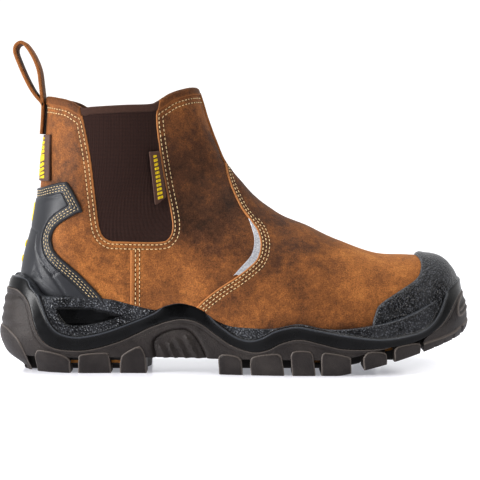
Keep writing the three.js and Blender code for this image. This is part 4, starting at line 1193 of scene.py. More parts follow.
stripe_closing = [(x + 50, z) for x, z in (stripe_line[-1], stripe_line[0])]
for side, sign in (("outer", -1), ("inner", 1)):
    skin = trim_to(whole, "strip", measure(whole, stripe_line, stripe_closing) - 0.9, [0.15, 0.5])
    skin = one_side(trim_to(skin, "free", 1.5 - skin["vamp"]), sign)
    lift = 0.15 + 0.5 * rounding(skin["strip"], 0.5)
    strip = panel("reflective_strip_" + side, skin, REFLECTIVE, lift, -0.1, skin["strip"] + 5)
    dress(strip, "silver_strip", "strip_" + side)


# %% Side tag
BAR_PITCH, BAR_GAP, BAR_SLANT = 2.9, 0.45, 0.35
TAG_EDGE, TAG_THREAD = [0.1, 0.4], 0.5
STAND_FROM, STAND_TO, STAND = float(place(0.352)), float(place(0.325)), 0.8


def corners_of(rows):
    """A straight-sided outline from table rows, as points (x, z) seen from the side."""
    table = np.array(rows)
    x = place(table[:, 0])
    return np.stack([x, over_bed(x, table[:, 1])], 1)


def woven_bars(skin, key, border):
    """The part of a tag that is woven yellow: a plain row of bars inside a border."""
    slanted = skin["p"][:, 2] - BAR_SLANT * skin["p"][:, 0]
    bars = np.abs((slanted / BAR_PITCH) % 1 - 0.5) * BAR_PITCH - BAR_GAP
    return trim_to(skin, "bars", np.minimum(skin[key] - border, bars), [0.1, 0.2])


def tape_and_bars(name, skin, bars, loose, thick, back):
    """The tape of a tag and its yellow bars. loose says how far its free part stands off the boot."""
    lift = 0.5 + thick * rounding(skin["tag"], 0.4) + loose(skin)
    tape = panel(name + "_tape", skin, BROWN_WEAVE, lift, 0.1 + back * loose(skin))
    lift = 0.5 + thick + 0.25 * rounding(bars["bars"], 0.2) + loose(bars)
    dress(panel(name + "_field", bars, YELLOW_WEAVE, lift, lift - TAG_THREAD), "yellow_weave")
    return tape


def side_tag_stand(skin):
    """The side tag's front edge stands off the gore."""
    return STAND * smooth(STAND_FROM, STAND_TO, skin["p"][:, 0])


skin = last_skin((13, 20), (math.radians(95), math.radians(150)), 110, 90)
skin = trim_to(skin, "tag", measure(skin, corners_of(SIDE_TAG)), TAG_EDGE)
tape = tape_and_bars("side_tag", skin, woven_bars(skin, "tag", 2.3), side_tag_stand, 0.9, 0.6 / STAND)
dress(tape, "brown_weave", "side_tag")

# %% [markdown]
# ## Back of the heel
# The rear tag, the bar and the studs are placed by their height on the back, and by how far they
# reach forward round the heel.

# %% Back of the heel: rear tag, bar and studs
COUNTER_TOP = float(over_bed(place(0.085), 0.819))
HEEL_WALL_TOP = HEEL_HEIGHT * max(s for _, s in MIDSOLE_TOP)
TAG_GAP, TAG_HEIGHT, TAG_DEPTH, FIELD_DEPTH, TAG_HALF = 5, 31, 8.5, 4.2, 40
BAR_DROP, BAR_BOX = 23, (13, 8, 4)
STUD_RISES, STUD_SIDES, STUD_SEAT = (17.8, 7.8), 28, 2.1
# Radius and height of the stud, from its foot to its dome
STUD_PROFILE = [(2.6, 0.0), (2.6, 0.6), (2.45, 0.95), (2.05, 1.2), (1.3, 1.4), (0.6, 1.47)]
STUD_TOP = 1.5


def back_at(height):
    """The last's back middle at a height, and its normal."""
    low, high = 14.0, float(U_TOP)
    while high - low > 0.0005:
        middle = (low + high) / 2
        if last_point(np.array([middle]), np.array([0.0]))[0, 2] < height:
            low = middle
        else:
            high = middle
    u, zero = np.array([low]), np.array([0.0])
    return last_point(u, zero)[0], last_normal(u, zero)[0]


def back_box(skin, foot, height, depth, half_width):
    """How far inside a box behind the heel each point lies."""
    x, y, z = skin["p"].T
    reach = back_at(foot + height / 2)[0][0] + depth
    return np.minimum.reduce([z - foot, foot + height - z, reach - x, half_width - np.abs(y)])


def rear_tag_stand(skin):
    """The rear tag's ends stand off the boot."""
    return 1.1 * smooth(18, 26, np.abs(skin["p"][:, 1]))


tag_foot = COUNTER_TOP + TAG_GAP
skin = last_skin((14.5, U_TOP), (-0.9, 0.9), 130, 70)
skin = trim_to(skin, "tag", back_box(skin, tag_foot, TAG_HEIGHT, TAG_DEPTH, TAG_HALF), TAG_EDGE)
skin["field"] = np.minimum(skin["tag"] - 1.6, back_box(skin, tag_foot, TAG_HEIGHT, FIELD_DEPTH, TAG_HALF))
tape = tape_and_bars("rear_tag", skin, woven_bars(skin, "field", 0), rear_tag_stand, 0.8, 0.9 / 1.1)
dress(tape, "yellow_weave", "rear_tag")

skin = last_skin((14.5, 18.5), (-0.5, 0.5), 160, 60)
skin = trim_to(skin, "bar", back_box(skin, COUNTER_TOP - BAR_DROP, *BAR_BOX), [0.1, 0.3, 0.7])
bar = panel("heel_bar", skin, YELLOW_PLASTIC, 2.2 + 0.9 * rounding(skin["bar"], 0.7), 1.6)
dress(bar, "yellow_plastic", "heel_badge")


def add_stud(name, height):
    """A domed stud, lathed round the counter's normal."""
    point, out = back_at(height)
    side = np.array([0.0, 1.0, 0.0])
    turn = 2 * np.pi * np.arange(STUD_SIDES) / STUD_SIDES
    circle = np.cos(turn)[:, None] * side + np.sin(turn)[:, None] * np.cross(side, out)
    seat = point + out * STUD_SEAT
    rings = np.concatenate([seat + r * circle + h * out for r, h in STUD_PROFILE])
    points, faces = close_tube(rings, len(STUD_PROFILE), seat, seat + STUD_TOP * out)
    return add_object(name, points, faces, [YELLOW_PLASTIC], sharp=40)


for i, rise in enumerate(STUD_RISES):
    stud = add_stud(f"heel_stud_dome_{i + 1}", HEEL_WALL_TOP + rise)
    dress(stud, "yellow_plastic", f"heel_stud_{i + 1}")

# %% [markdown]
# ## Pull loop
# The loop is one leather strap, folded double above the collar and sewn down the back. A strap is a
# ribbon along a side view line, with rounded long edges and a raw, paler cut edge.

# %% Strap
LOOP_HEIGHT, STRAP_WIDTH, STRAP_THICKNESS, STRAP_BEVEL, TRIM_STEP = 42, 19, 2.2, 0.55, 0.8
LOOP_PATH = [
    (0.0, -0.02), (0.03, 0.04), (0.11, 0.13), (0.193, 0.25), (0.29, 0.438), (0.386, 0.664), (0.448, 0.845),
    (0.421, 0.952), (0.331, 0.99), (0.236, 0.9), (0.136, 0.729), (0.067, 0.533), (0.04, 0.324),
    (0.02, 0.143), (0.0, 0.0),
]
foot_height = float(over_bed(place(0.09), 1.79)) - COLLAR_FOLD
tail_foot = tag_foot + TAG_HEIGHT + GAP


def strap_path():
    """The strap's middle line: up the back, round the loop and back to its foot."""
    line = []
    for height in np.linspace(tail_foot, foot_height + 0.6, 14):
        point, out = back_at(height)
        line.append((point + out * (TRIM_STEP + GAP + STRAP_THICKNESS / 2))[[0, 2]])
    foot = back_at(foot_height)[0][0] - TRIM_STEP - GAP - STRAP_THICKNESS / 2
    rows = np.array([(foot - LOOP_HEIGHT * out, foot_height + LOOP_HEIGHT * rise) for out, rise in LOOP_PATH])
    loop = along_rows(rows, np.linspace(0, len(rows) - 1, 110))
    return np.array(line), loop


def strap_section():
    """The strap's section: its width and its thickness, with bevelled long edges."""
    half, thick = STRAP_WIDTH / 2, STRAP_THICKNESS / 2
    bevel = thick * STRAP_BEVEL
    section = []
    for sign_y, sign_t in ((1, 1), (-1, 1), (-1, -1), (1, -1)):
        turns = np.linspace(0, np.pi / 2, 4)
        for t in (turns if sign_y * sign_t < 0 else turns[::-1]):
            y = sign_y * (half - bevel + bevel * np.sin(t))
            section.append((y, sign_t * (thick - bevel + bevel * np.cos(t))))
        if sign_y == sign_t:
            section += [(sign_y * half * s, sign_t * thick) for s in (0.6, 0.2, -0.2, -0.6)]
    section = np.array(section)
    return section, np.abs(section[:, 0]) < half - bevel - 0.05


def add_strap(line):
    """A ribbon along a side view line, closed at both ends: points, faces and edge distances."""
    ahead = np.gradient(line, axis=0)
    ahead /= np.linalg.norm(ahead, axis=1)[:, None]
    across = np.stack([-ahead[:, 1], ahead[:, 0]], 1)
    section, is_flat = strap_section()
    rings = []
    for point, side in zip(line, across):
        flat = point + section[:, 1:2] * side
        rings.append(np.stack([flat[:, 0], section[:, 0], flat[:, 1]], 1))
    points, faces = close_tube(np.concatenate(rings), len(line), rings[0].mean(0), rings[-1].mean(0))
    return points, faces, np.concatenate([np.tile(np.where(is_flat, 3.0, 0.2), len(line)), [1, 1]])


strap = add_blocks("pull_strap", [add_strap(line) for line in strap_path()], NUBUCK_TRIM, 48)
dress(strap, "strap_leather", "pull_loop")

# %% [markdown]
# ## The sole
# The sole's wall is one more skin, round the outline and up its height. The midsole is what lies over
# the wave line, with a smooth band and sunk grained panels, and the outsole is what lies under it.
# The lugs are blocks that stand out of the wall a little and reach the ground.

# %% The sole's wall as a function
HEEL_ROUND, TOE_ROUND = 0.14, 0.2


def round_end(distance, reach, fullness=2.2):
    """0 at an end of the outline, rising to 1 as a full curve over the reach."""
    t = np.clip(distance / reach, 0, 1)
    return (1 - (1 - t) ** fullness) ** (1 / fullness)


def sole_point(level, turn):
    """Points of the sole's wall: rows up its height, and a turn round its outline from the back."""
    s, side, back, toe = along_rows(SOLE_LEVELS, level).T
    side, back = np.maximum(side, 0), -LENGTH / 2 + HEEL_HEIGHT * np.maximum(back, 0)
    toe = LENGTH / 2 - HEEL_HEIGHT * np.maximum(toe, 0)
    x = back + (toe - back) * (1 - np.cos(turn)) / 2
    at = np.interp(share(x), SOLE_PLAN[:, 0], np.arange(len(SOLE_PLAN)))
    plan = along_rows(SOLE_PLAN, at)
    outer = np.sin(turn) > 0
    width = np.minimum(1, np.where(outer, plan[:, 1], plan[:, 2]))
    ends = round_end(x - back, HEEL_ROUND * LENGTH) * round_end(toe - x, TOE_ROUND * LENGTH)
    half = (SOLE_WIDTH / 2 * width - HEEL_HEIGHT * side) * ends
    return np.stack([x, np.where(outer, -half, half) + toe_swing(x), over_tread(x, s)], 1)


def sole_skin(rows, columns):
    """The whole wall of the sole, with the height s over the tread at each point."""
    last = len(SOLE_LEVELS) - 1
    turn = (np.arange(columns) + 0.5) * 2 * np.pi / columns
    level, turn = (g.ravel() for g in np.meshgrid(np.linspace(0, last, rows), turn, indexing="ij"))
    near = 0.01
    up = sole_point(np.minimum(level + near, last), turn) - sole_point(np.maximum(level - near, 0), turn)
    around = sole_point(level, turn + near) - sole_point(level, turn - near)
    out = np.cross(around, up)
    out /= np.maximum(np.linalg.norm(out, axis=1), 1e-9)[:, None]
    faces = grid_faces(rows, columns, True)
    return {"p": sole_point(level, turn), "n": out, "tri": faces, "s": along_rows(SOLE_LEVELS, level)[:, 0]}


sole = sole_skin(*(((60, 540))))
sole["top"] = below(sole, midsole_line)
sole["wave"] = above(sole, wave_line)
sole["band"] = below(sole, band_line)
sole["window"] = measure(sole, outline(HEEL_WINDOW + HEEL_WINDOW[:1], over_tread))
sole["arch"] = measure(sole, outline(ARCH_PANEL, over_tread))
print("sole skin", len(sole["p"]), "points")

# %% [markdown]
# ## A wall with depth
# A part of the wall becomes solid by a second face straight inside it. Where that would run into the
# upper, the last itself is cut out of it, drawn in a little so that the sole still grips the leather.

# %% Solid walls
MIDSOLE_DEPTH, OUTSOLE_DEPTH, ROOM_INSET, ROOM_OVER_BED = 13, 14, 0.6, 0.5


def wall_piece(name, skin, lift, depth, edge, finishes, finish_index=None):
    """A closed wall from a part of the sole's skin, with room for the upper cut out of it."""
    flat = skin["n"] * [1, 1, 0]
    flat /= np.maximum(np.linalg.norm(flat, axis=1), 1e-9)[:, None]
    outer = skin["p"] + skin["n"] * lift[:, None]
    points, faces = close_shell(outer, skin["p"] - flat * depth, skin["tri"])
    if finish_index is not None:
        finish_index = np.concatenate([finish_index, np.zeros(len(faces) - len(finish_index), int)])
    piece = add_object(name, points, faces, finishes, {"edge_mm": np.tile(edge, 2)}, 60, finish_index)
    modifier = piece.modifiers.new("carve", "BOOLEAN")
    modifier.operation = "DIFFERENCE"
    modifier.solver = "MANIFOLD"
    modifier.object = room
    take_result(piece, modifier)
    return piece


def room_for_upper(rows, columns):
    """The last as one closed mesh, a little under the leather, to cut out of the sole."""
    skin = last_skin((0, U_TOP), (0, 2 * math.pi), rows, columns)
    points = skin["p"] - skin["n"] * ROOM_INSET
    points, faces = close_tube(points, rows, points[:columns].mean(0), points[-columns:].mean(0))
    points[:, 2] = np.maximum(points[:, 2], bed_height(points[:, 0]) - ROOM_OVER_BED)
    return add_object("room", points, faces, [])


room = room_for_upper(130, 120)

# %% Midsole
PANEL_RECESS, WINDOW_RECESS = 1.5, 1.6
BAND_CUTS, WINDOW_CUTS = (1.4, 0.9, 0.6, 0.3, 0, -0.3, -0.7, -1.2), (0, 0.4, 0.9, 1.5)

skin = trim(trim(sole, "top", 0, rounded(1.4)), "wave", 0.1, [0.05, 0.2, 0.5])
skin = split(split(skin, "band", *BAND_CUTS), "window", *WINDOW_CUTS)
sink = PANEL_RECESS * smooth(0.5, -1.2, skin["band"])
lift = 0.5 * bump(skin["band"], 0.9, 0.8) - sink - WINDOW_RECESS * smooth(0, 1.5, skin["window"])
lift -= 1.2 * (1 - rounding(skin["top"], 1.4)) + 0.5 * (1 - rounding(skin["wave"] - 0.1, 0.6))
band, window = (skin[key][skin["tri"]].mean(1) for key in ("band", "window"))
# edge_mm is small along the band's lip and the midsole's top edge, where the smooth band gets a painted
# highlight line
edge = np.minimum(np.abs(skin["band"] - 0.6) + 0.2, skin["top"] + 0.3)
grained = np.where((band < -0.5) & (window < 1.0), 1, 0)
midsole = wall_piece("midsole_wall", skin, lift, MIDSOLE_DEPTH, edge, [BAND_RUBBER, CAP_RUBBER], grained)
dress(midsole, "cap_rubber", "midsole")

# %% Outsole wall
BODY_FOOT = 0.34
ARCH_RIBS = [
    (0.360, 0.349, 0.348, 0.57), (0.381, 0.349, 0.365, 0.636), (0.404, 0.349, 0.381, 0.725),
    (0.428, 0.349, 0.400, 0.813),
]
# Lowest rib on the back of the heel, the ribs' pitch and their number, in heel heights
HEEL_RIBS_FROM, HEEL_RIB_PITCH, HEEL_RIBS = 1.02, 0.22, 3.7
TOE_CURLS = [
    [(1.0, 0.97), (0.984, 0.883), (0.973, 0.783), (0.969, 0.617), (0.972, 0.475), (0.984, 0.475),
     (1.0, 0.56)],
    [(0.975, 0.58), (0.986, 0.63), (1.0, 0.72)],
]


def to_curls(skin):
    """How far each point lies from the raised curls at the toe."""
    flat = skin["p"][:, [0, 2]]
    return np.min([to_line(flat, outline(rows, over_tread))[0] for rows in TOE_CURLS], axis=0)


def outsole_relief(skin):
    """The furrow under the wave, the sunk arch with its ribs, the toe's curls and the heel's ribs."""
    flat = skin["p"][:, [0, 2]]
    height = -0.5 - 0.6 * (1 - rounding(-skin["wave"] - 0.1, 0.8))
    height += furrows(-skin["wave"], (2.6,), 0.3, 0.45)
    ribs = np.zeros(len(flat))
    for x1, s1, x2, s2 in ARCH_RIBS:
        distance, _ = to_line(flat, outline([(x1, s1 - 0.1), (x2, s2)], over_tread, 2))
        ribs = np.maximum(ribs, 1.5 * rounding(1.5 - distance, 1.5))
    height += smooth(-0.3, 0.6, skin["arch"]) * (ribs - 1.5) - 1.2 * bump(skin["arch"], 0, 0.8)
    height += 0.8 * bump(skin["curl"], 0, 1)
    ring = (skin["s"] - HEEL_RIBS_FROM) / HEEL_RIB_PITCH
    bulge = np.abs(np.sin(np.pi * np.clip(ring, 0, HEEL_RIBS)))
    at_back = smooth(float(place(0.075)), float(place(0.03)), flat[:, 0])
    return height + at_back * 1.2 * bulge * (ring > 0) * (ring < HEEL_RIBS)


skin = trim_to(sole, "under", -sole["wave"] - 0.1, [0.05, 0.25, 0.6, 1.0])
skin = split(skin, "under", 2.1, 2.6, 3.1)
skin = trim_to(skin, "foot", skin["s"] - BODY_FOOT, [0.01, 0.03])
skin = split(skin, "arch", -0.8, -0.3, 0, 0.4, 0.8)
skin["curl"] = to_curls(skin)
lift = outsole_relief(skin) - 0.6 * (1 - rounding(skin["foot"] * HEEL_HEIGHT, 0.9))
edge = np.minimum(skin["under"], skin["curl"])
outsole = wall_piece("outsole_wall", skin, lift, OUTSOLE_DEPTH, edge, [TREAD_RUBBER])
dress(outsole, "tread_rubber", "outsole")


# %% Outsole plate
PLATE_FROM, PLATE_TO, PLATE_INSET, PLATE_FOOT, PLATE_TOP = -148, 154, 5, 0.6, 6


def outline_half(x, side):
    """Half width of the tread at x, on the outer (0) or inner (1) side."""
    back, toe = -LENGTH / 2 + HEEL_HEIGHT * 0.25, LENGTH / 2
    at = np.interp(share(x), SOLE_PLAN[:, 0], np.arange(len(SOLE_PLAN)))
    width = np.minimum(1, along_rows(SOLE_PLAN, at)[:, 1 + side])
    ends = round_end(x - back, HEEL_ROUND * LENGTH) * round_end(toe - x, TOE_ROUND * LENGTH)
    return (SOLE_WIDTH / 2 * width - 1.5) * ends


def make_plate(rows, columns):
    """The floor of the tread between the walls, a curved slab that follows the toe spring."""
    x = np.linspace(PLATE_FROM, PLATE_TO, columns)
    left, right = outline_half(x, 0) - PLATE_INSET, outline_half(x, 1) - PLATE_INSET
    low, high = [], []
    for t in np.linspace(0, 1, rows):
        y = -left + (left + right) * t + toe_swing(x)
        low.append(np.stack([x, y, over_tread(x, BODY_FOOT) + PLATE_FOOT], 1))
        high.append(np.stack([x, y, over_tread(x, BODY_FOOT) + PLATE_TOP], 1))
    points, faces = close_shell(np.concatenate(high), np.concatenate(low), grid_faces(rows, columns, False))
    return add_object("outsole_plate", points, fix_outside(points, faces), [TREAD_RUBBER],
                      {"edge_mm": np.full(len(points), 20.0)})


dress(make_plate(24, 120), "tread_rubber")

# %% [markdown]
# ## Tread
# The lugs are drawn from the side as rounded outlines, because that is how they show. Each outline is
# trimmed from the wall's skin, lifted a little and drawn in to the channel under the foot.

# %% Side lugs
CHANNEL_AT = 22.0
LUG_OUTLINES = [
    [(0.088, 0.466), (0.096, 0.517), (0.135, 0.44), (0.156, 0.33), (0.159, 0.189), (0.153, -0.3),
     (0.097, -0.3), (0.085, 0.293)],
    [(0.177, 0.293), (0.183, 0.42), (0.235, 0.46), (0.24, 0.397), (0.239, -0.3), (0.181, -0.3),
     (0.176, 0.154)],
    [(0.264, 0.326), (0.270, 0.43), (0.299, 0.60), (0.309, 0.54), (0.316, 0.293), (0.312, -0.3),
     (0.268, -0.3), (0.262, 0.085)],
    [(0.466, 0.379), (0.474, 0.455), (0.507, 0.41), (0.515, 0.225), (0.512, -0.3), (0.474, -0.3),
     (0.467, 0.159)],
    [(0.532, 0.342), (0.541, 0.43), (0.583, 0.49), (0.596, 0.41), (0.598, -0.3), (0.544, -0.3),
     (0.532, 0.141)],
    [(0.614, 0.443), (0.621, 0.55), (0.651, 0.55), (0.660, 0.443), (0.664, -0.3), (0.624, -0.3),
     (0.617, 0.108)],
    [(0.677, 0.425), (0.685, 0.52), (0.732, 0.39), (0.738, 0.262), (0.733, -0.3), (0.684, -0.3),
     (0.677, 0.209)],
    [(0.763, 0.29), (0.773, 0.385), (0.798, 0.32), (0.812, 0.18), (0.806, -0.3), (0.772, -0.3),
     (0.764, 0.111)],
    [(0.827, 0.25), (0.836, 0.325), (0.874, 0.26), (0.884, 0.14), (0.874, -0.3), (0.832, -0.3),
     (0.828, 0.119)],
]
BACK_BLOCK = [
    (-0.05, 1.02), (0.012, 0.98), (0.035, 0.86), (0.05, 0.70), (0.062, 0.442), (0.068, 0.2), (0.066, -0.3),
    (-0.05, -0.3),
]
TOE_BLOCK = [
    (0.889, -0.3), (0.889, 0.2), (0.893, 0.28), (0.90, 0.32), (0.93, 0.40), (0.955, 0.5), (0.97, 0.6),
    (1.05, 0.6), (1.05, -0.3), (0.985, -0.3), (0.982, 0.22), (0.976, 0.22), (0.974, -0.3), (0.963, -0.3),
    (0.961, 0.13), (0.955, 0.13), (0.953, -0.3), (0.942, -0.3), (0.94, 0.1), (0.934, 0.1), (0.932, -0.3),
    (0.921, -0.3), (0.919, 0.08), (0.913, 0.08), (0.911, -0.3),
]
TOE_FOOT = [
    (0.88, 0.16), (0.893, 0.20), (0.93, 0.17), (0.96, 0.17), (0.985, 0.23), (1.1, 0.34), (1.1, -1.0),
    (0.88, -1.0),
]


def toe_relief(skin):
    """The toe's own block lies flush with the wall above its foot, and carries the raised curls."""
    skin["foot"] = measure(skin, outline(TOE_FOOT + TOE_FOOT[:1], over_tread)[:-1])
    skin = split(skin, "foot", 0, 0.5, 1.1)
    curl = to_curls(skin)
    lift = 0.9 * rounding(skin["foot"], 1.2) - 0.5 + 0.9 * bump(curl, 0, 1)
    return skin, lift, np.minimum(curl, np.abs(skin["foot"] - 0.4))


def lug_block(rows, target, steps=8, relief=None):
    """One block from the wall's skin. target turns its inner points to their place under the foot."""
    line = outline([*rows, rows[0]], over_tread, steps)
    x = wall["p"][:, 0]
    near = (x > line[:, 0].min() - 4) & (x < line[:, 0].max() + 4)
    skin = keep(wall, near[wall["tri"]].all(1))
    skin = trim_to(skin, "lug", measure(skin, line[:-1]), [0.2, 0.7, 1.6])
    if relief:
        skin, lift, edge = relief(skin)
    else:
        lift = 0.9 * rounding(skin["lug"], 1.8) - 0.4
        edge = np.minimum(skin["lug"], 20)
    outer = skin["p"] + skin["n"] * lift[:, None]
    outer[:, 2] = np.maximum(outer[:, 2], toe_lift(outer[:, 0]))
    points, faces = close_shell(outer, target(skin["p"]), skin["tri"])
    return points, faces, np.tile(edge, 2)


def to_channel(points):
    """Draws points in to the channel, a little tapered."""
    swing = toe_swing(points[:, 0])
    side = np.sign(points[:, 1] - swing)
    inner = points.copy()
    inner[:, 1] = swing + side * np.minimum(CHANNEL_AT, np.abs(points[:, 1] - swing) - 1)
    return inner


def to_wall_at(x_share, squeeze):
    """Draws points to an upright plane across the sole, and keeps their height over the tread."""
    def turn(points):
        inner = points.copy()
        inner[:, 0] = float(place(x_share))
        inner[:, 1] *= squeeze
        inner[:, 2] += toe_lift(inner[:, 0]) - toe_lift(points[:, 0])
        return inner
    return turn


wall = sole_skin(44, 360)
blocks = [lug_block(rows, to_channel) for rows in LUG_OUTLINES]
blocks.append(lug_block(BACK_BLOCK, to_wall_at(0.066, 0.85)))
blocks.append(lug_block(TOE_BLOCK, to_wall_at(0.891, 0.95), 1, toe_relief))
dress(add_blocks("tread_lugs", blocks, TREAD_RUBBER), "tread_rubber")


# %% Middle lugs
MIDDLE_HALF, MIDDLE_LEAN, MIDDLE_BEVEL = 17.5, 4.0, 1 / 9
# Height of each ring in heel heights, and how much of the bevel it is drawn in by
MIDDLE_RINGS = [(0.4, 0.0), (0.05, 0.0), (0.012, 0.6), (0.0, 1.0)]


def middle_block(x1, x2):
    """A bevelled block under the middle of the foot, with a chevron's slanted ends."""
    half, lean = MIDDLE_HALF, MIDDLE_LEAN
    corners = [(x1 + lean, 0), (x1, -half), (x2 - lean, -half), (x2, 0), (x2 - lean, half), (x1, half)]
    middle = np.array([(x1 + x2) / 2, 0])
    points = []
    for level, draw in MIDDLE_RINGS:
        for corner in corners:
            x, y = middle + (np.array(corner) - middle) * (1 - draw * MIDDLE_BEVEL)
            points.append((x, y + float(toe_swing(x)), float(over_tread(x, level))))
    points = np.array(points)
    faces = grid_faces(len(MIDDLE_RINGS), 6, True).tolist()
    for base, order in ((0, 1), (18, -1)):
        faces += [(base, base + k, base + k + 1)[::order] for k in range(1, 5)]
    return points, fix_outside(points, faces), np.full(len(points), 6.0)


MIDDLE_SPANS = [
    (0.056, 0.117), (0.133, 0.2), (0.216, 0.282), (0.296, 0.322), (0.466, 0.49), (0.5, 0.556),
    (0.57, 0.632), (0.646, 0.702), (0.716, 0.778), (0.79, 0.844), (0.858, 0.9),
]
middle = [middle_block(float(place(a)), float(place(b))) for a, b in MIDDLE_SPANS]
dress(add_blocks("tread_middle", middle, TREAD_RUBBER), "tread_rubber")

# %% [markdown]
# ## Stitching
# Every seam is a line on a panel where its distance from the edge has one value. A Geometry Nodes
# tree sets points along these lines, one per stitch, and turns each stitch to the line and the
# surface. The same tree with other sizes sets small dark beads between the stitches: painted shade
# of the needle holes.

# %% Seam lines
def seam_lines(skin, key, level, wanted=None):
    """Ordered lines over a panel where a number has one value: points and normals."""
    _, corners, edges, which, t = crossings(skin["tri"], skin[key] - level, 1e-6)
    t = t[:, None]
    surface = skin["p"] + skin["n"] * skin["out"][:, None]
    points = surface[edges[:, 0]] * (1 - t) + surface[edges[:, 1]] * t
    normals = skin["n"][edges[:, 0]] * (1 - t) + skin["n"][edges[:, 1]] * t
    links = {}
    count = len(corners[0])
    for i, j in zip(which[:count].tolist(), which[count:].tolist()):
        if wanted is None or (wanted(points[i]) and wanted(points[j])):
            links.setdefault(i, []).append(j)
            links.setdefault(j, []).append(i)
    lines, seen = [], set()
    starts = sorted(links, key=lambda i: (len(links[i]), i))
    for start in starts:
        if start in seen:
            continue
        line = [start]
        seen.add(start)
        while True:
            onward = [k for k in links[line[-1]] if k not in seen]
            if not onward:
                break
            line.append(onward[0])
            seen.add(onward[0])
        if len(line) > 4:
            lines.append((points[line], normals[line]))
    return lines


def stitch_tree():
    """A stitch on every step of a line, turned to the line and the surface."""
    tree, given, result = group_with("Stitch row", {
        "Pitch": "NodeSocketFloat", "Length": "NodeSocketFloat", "Width": "NodeSocketFloat",
        "Height": "NodeSocketFloat", "Shift": "NodeSocketFloat", "Lift": "NodeSocketFloat",
        "Thread": "NodeSocketMaterial"})
    line = node(tree, "GeometryNodeMeshToCurve", {"Mesh": given["Geometry"]})
    steps = node(tree, "GeometryNodeResampleCurve", {"Curve": line.outputs[0], "Length": given["Pitch"]},
                 mode="LENGTH")
    bead = node(tree, "GeometryNodeMeshUVSphere", {"Segments": 6, "Rings": 4, "Radius": 0.5})
    size = node(tree, "ShaderNodeCombineXYZ", {0: given["Length"], 1: given["Width"], 2: given["Height"]})
    offset = node(tree, "ShaderNodeCombineXYZ", {0: given["Shift"], 2: given["Lift"]})
    formed = node(tree, "GeometryNodeTransform", {
        "Geometry": bead.outputs["Mesh"], "Scale": size.outputs[0], "Translation": offset.outputs[0]})
    ahead = node(tree, "GeometryNodeInputTangent")
    facing = node(tree, "GeometryNodeInputNamedAttribute", {"Name": "facing"}, data_type="FLOAT_VECTOR")
    turned = node(tree, "FunctionNodeAxesToRotation", {0: ahead.outputs[0], 1: facing.outputs["Attribute"]},
                  primary_axis="X", secondary_axis="Z")
    sewn = node(tree, "GeometryNodeInstanceOnPoints", {
        "Points": steps.outputs[0], "Instance": formed.outputs[0], "Rotation": turned.outputs[0]})
    real = node(tree, "GeometryNodeRealizeInstances", {"Geometry": sewn.outputs[0]})
    done = node(tree, "GeometryNodeSetMaterial", {"Geometry": real.outputs[0], "Material": given["Thread"]})
    tree.links.new(done.outputs[0], result["Geometry"])
    return tree


stitching = stitch_tree()
print("stitch tree", len(stitching.nodes), "nodes")


# %% Sewing
def sew(name, lines, finish, **sizes):
    """Runs the stitch tree over a set of lines. The sizes are its inputs, in mm."""
    points, edges, facing = [], [], []
    for line, normals in lines:
        start = len(points)
        points += (line * MM).tolist()
        facing += normals.tolist()
        edges += [(start + i, start + i + 1) for i in range(len(line) - 1)]
    mesh = bpy.data.meshes.new(name)
    mesh.from_pydata(points, edges, [])
    attribute = mesh.attributes.new("facing", "FLOAT_VECTOR", "POINT")
    attribute.data.foreach_set("vector", np.asarray(facing, np.float32).ravel())
    made = bpy.data.objects.new(name, mesh)
    bpy.context.scene.collection.objects.link(made)
    run_tree(made, stitching, {"Thread": finish, **{key: value * MM for key, value in sizes.items()}})
    made.data.shade_smooth()
    print(name, len(made.data.polygons), "faces")
    return made


def sole_clear(point):
    """Over the midsole's edge."""
    return point[2] > np.interp(point[0], midsole_line[:, 0], midsole_line[:, 1]) + 0.5


# %% Leather seams
PITCH = 2.9
LEATHER_STITCH = {"Length": 2.3, "Width": 0.8, "Height": 0.55, "Lift": 0.16, "Shift": 0}
# Sizes of the dark beads that paint the needle holes' shade
LEATHER_HOLE_SHADE = {"Length": 0.75, "Width": 0.75, "Height": 0.35, "Lift": 0.0, "Shift": PITCH / 2}
COUNTER_STITCH = {"Length": 2.1, "Width": 0.62, "Height": 0.45, "Lift": 0.12, "Shift": 0}
COUNTER_PITCH = 2.7
SIDE_ROWS = (2.2, 4.9)
# The vamp's third row ends at this place, below the others
THIRD_ROW_TOP = float(over_bed(place(0.53), 0.72))
GORE_FOOT = float(over_bed(seam_x, 0.511)) - 6

lines = []
for row in GORE_ROWS:
    lines += seam_lines(quarter_skin, "seam", row)
for row, top in zip(VAMP_ROWS, (FAR, FAR, THIRD_ROW_TOP)):
    lines += seam_lines(vamp_skin, "vamp", row, lambda p, top=top: sole_clear(p) and p[2] < top)
quarter_skin["across"] = quarter_skin["p"][:, 0] - seam_x
for row in SIDE_ROWS:
    lines += seam_lines(quarter_skin, "across", row, lambda p: sole_clear(p) and p[2] < GORE_FOOT)
dress(sew("stitches_leather", lines, THREAD, Pitch=PITCH, **LEATHER_STITCH), "leather")
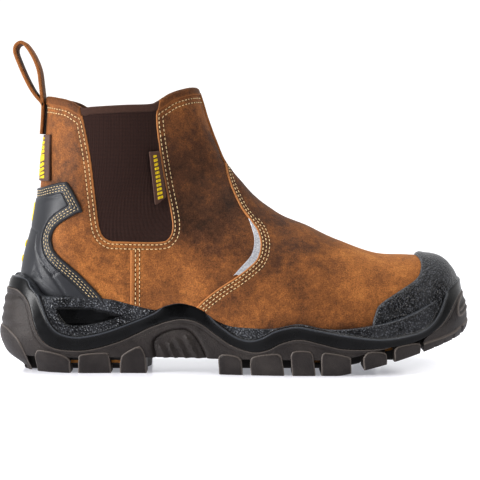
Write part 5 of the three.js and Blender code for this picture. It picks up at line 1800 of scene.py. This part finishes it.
# Dark beads between the stitches: painted shade of the needle holes
dress(sew("needle_holes", lines, NEEDLE_HOLE_SHADE, Pitch=PITCH, **LEATHER_HOLE_SHADE), "leather")

# %% Counter seams
lines = []
for row in COUNTER_ROWS:
    lines += seam_lines(counter_skin, "counter", row, sole_clear)
dress(sew("stitches_counter", lines, THREAD, Pitch=COUNTER_PITCH, **COUNTER_STITCH), "counter_shell")

# %% [markdown]
# ## Footbed
# A thick felted sheet lies inside. Its outline is the ring that the last has a little over the bed,
# so it fills the boot from wall to wall, and its rim rises to the lining.

# %% Footbed
BED_FOOT, RING_AT, BED_TOP, BED_RIM, BED_FIT = 0.4, 4.2, 3.6, 1.0, 0.995


def make_footbed(rows, columns):
    """The footbed cloth inside, with a low raised rim, as wide as the lining leaves room."""
    skin = trim(whole, "bed", BED_FOOT)
    skin["out"] = np.full(len(skin["p"]), -2.6)
    ring = max(seam_lines(skin, "bed", RING_AT), key=lambda line: len(line[0]))[0]
    is_outer = ring[:, 1] < toe_swing(ring[:, 0])
    x = np.linspace(ring[:, 0].min() + 0.6, ring[:, 0].max() - 0.6, columns)
    sides = []
    for part in (ring[is_outer], ring[~is_outer]):
        order = np.argsort(part[:, 0])
        sides.append(np.interp(x, part[order, 0], part[order, 1]))
    high, low = [], []
    for t in np.linspace(-1, 1, rows):
        y = (sides[0] + sides[1]) / 2 + (sides[1] - sides[0]) / 2 * t * BED_FIT
        high.append(np.stack([x, y, bed_height(x) + BED_TOP + BED_RIM * abs(t) ** 4], 1))
        low.append(np.stack([x, y, bed_height(x) + BED_FOOT], 1))
    points, faces = close_shell(np.concatenate(high), np.concatenate(low), grid_faces(rows, columns, False))
    return add_object("footbed", points, fix_outside(points, faces), [FOOTBED])


dress(make_footbed(22, 90), "insole_cloth", "insole")

# %% [markdown]
# ## What stays a solid
# The small pods between the lugs keep their solids, and get a finish in place of the plain one.

# %% Carried-over solids
for name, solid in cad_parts.items():
    if name.startswith("tread_pod"):
        solid.data.materials.clear()
        solid.data.materials.append(AMBER_RUBBER)

# %% The last line: the room is removed
bpy.data.objects.remove(room)
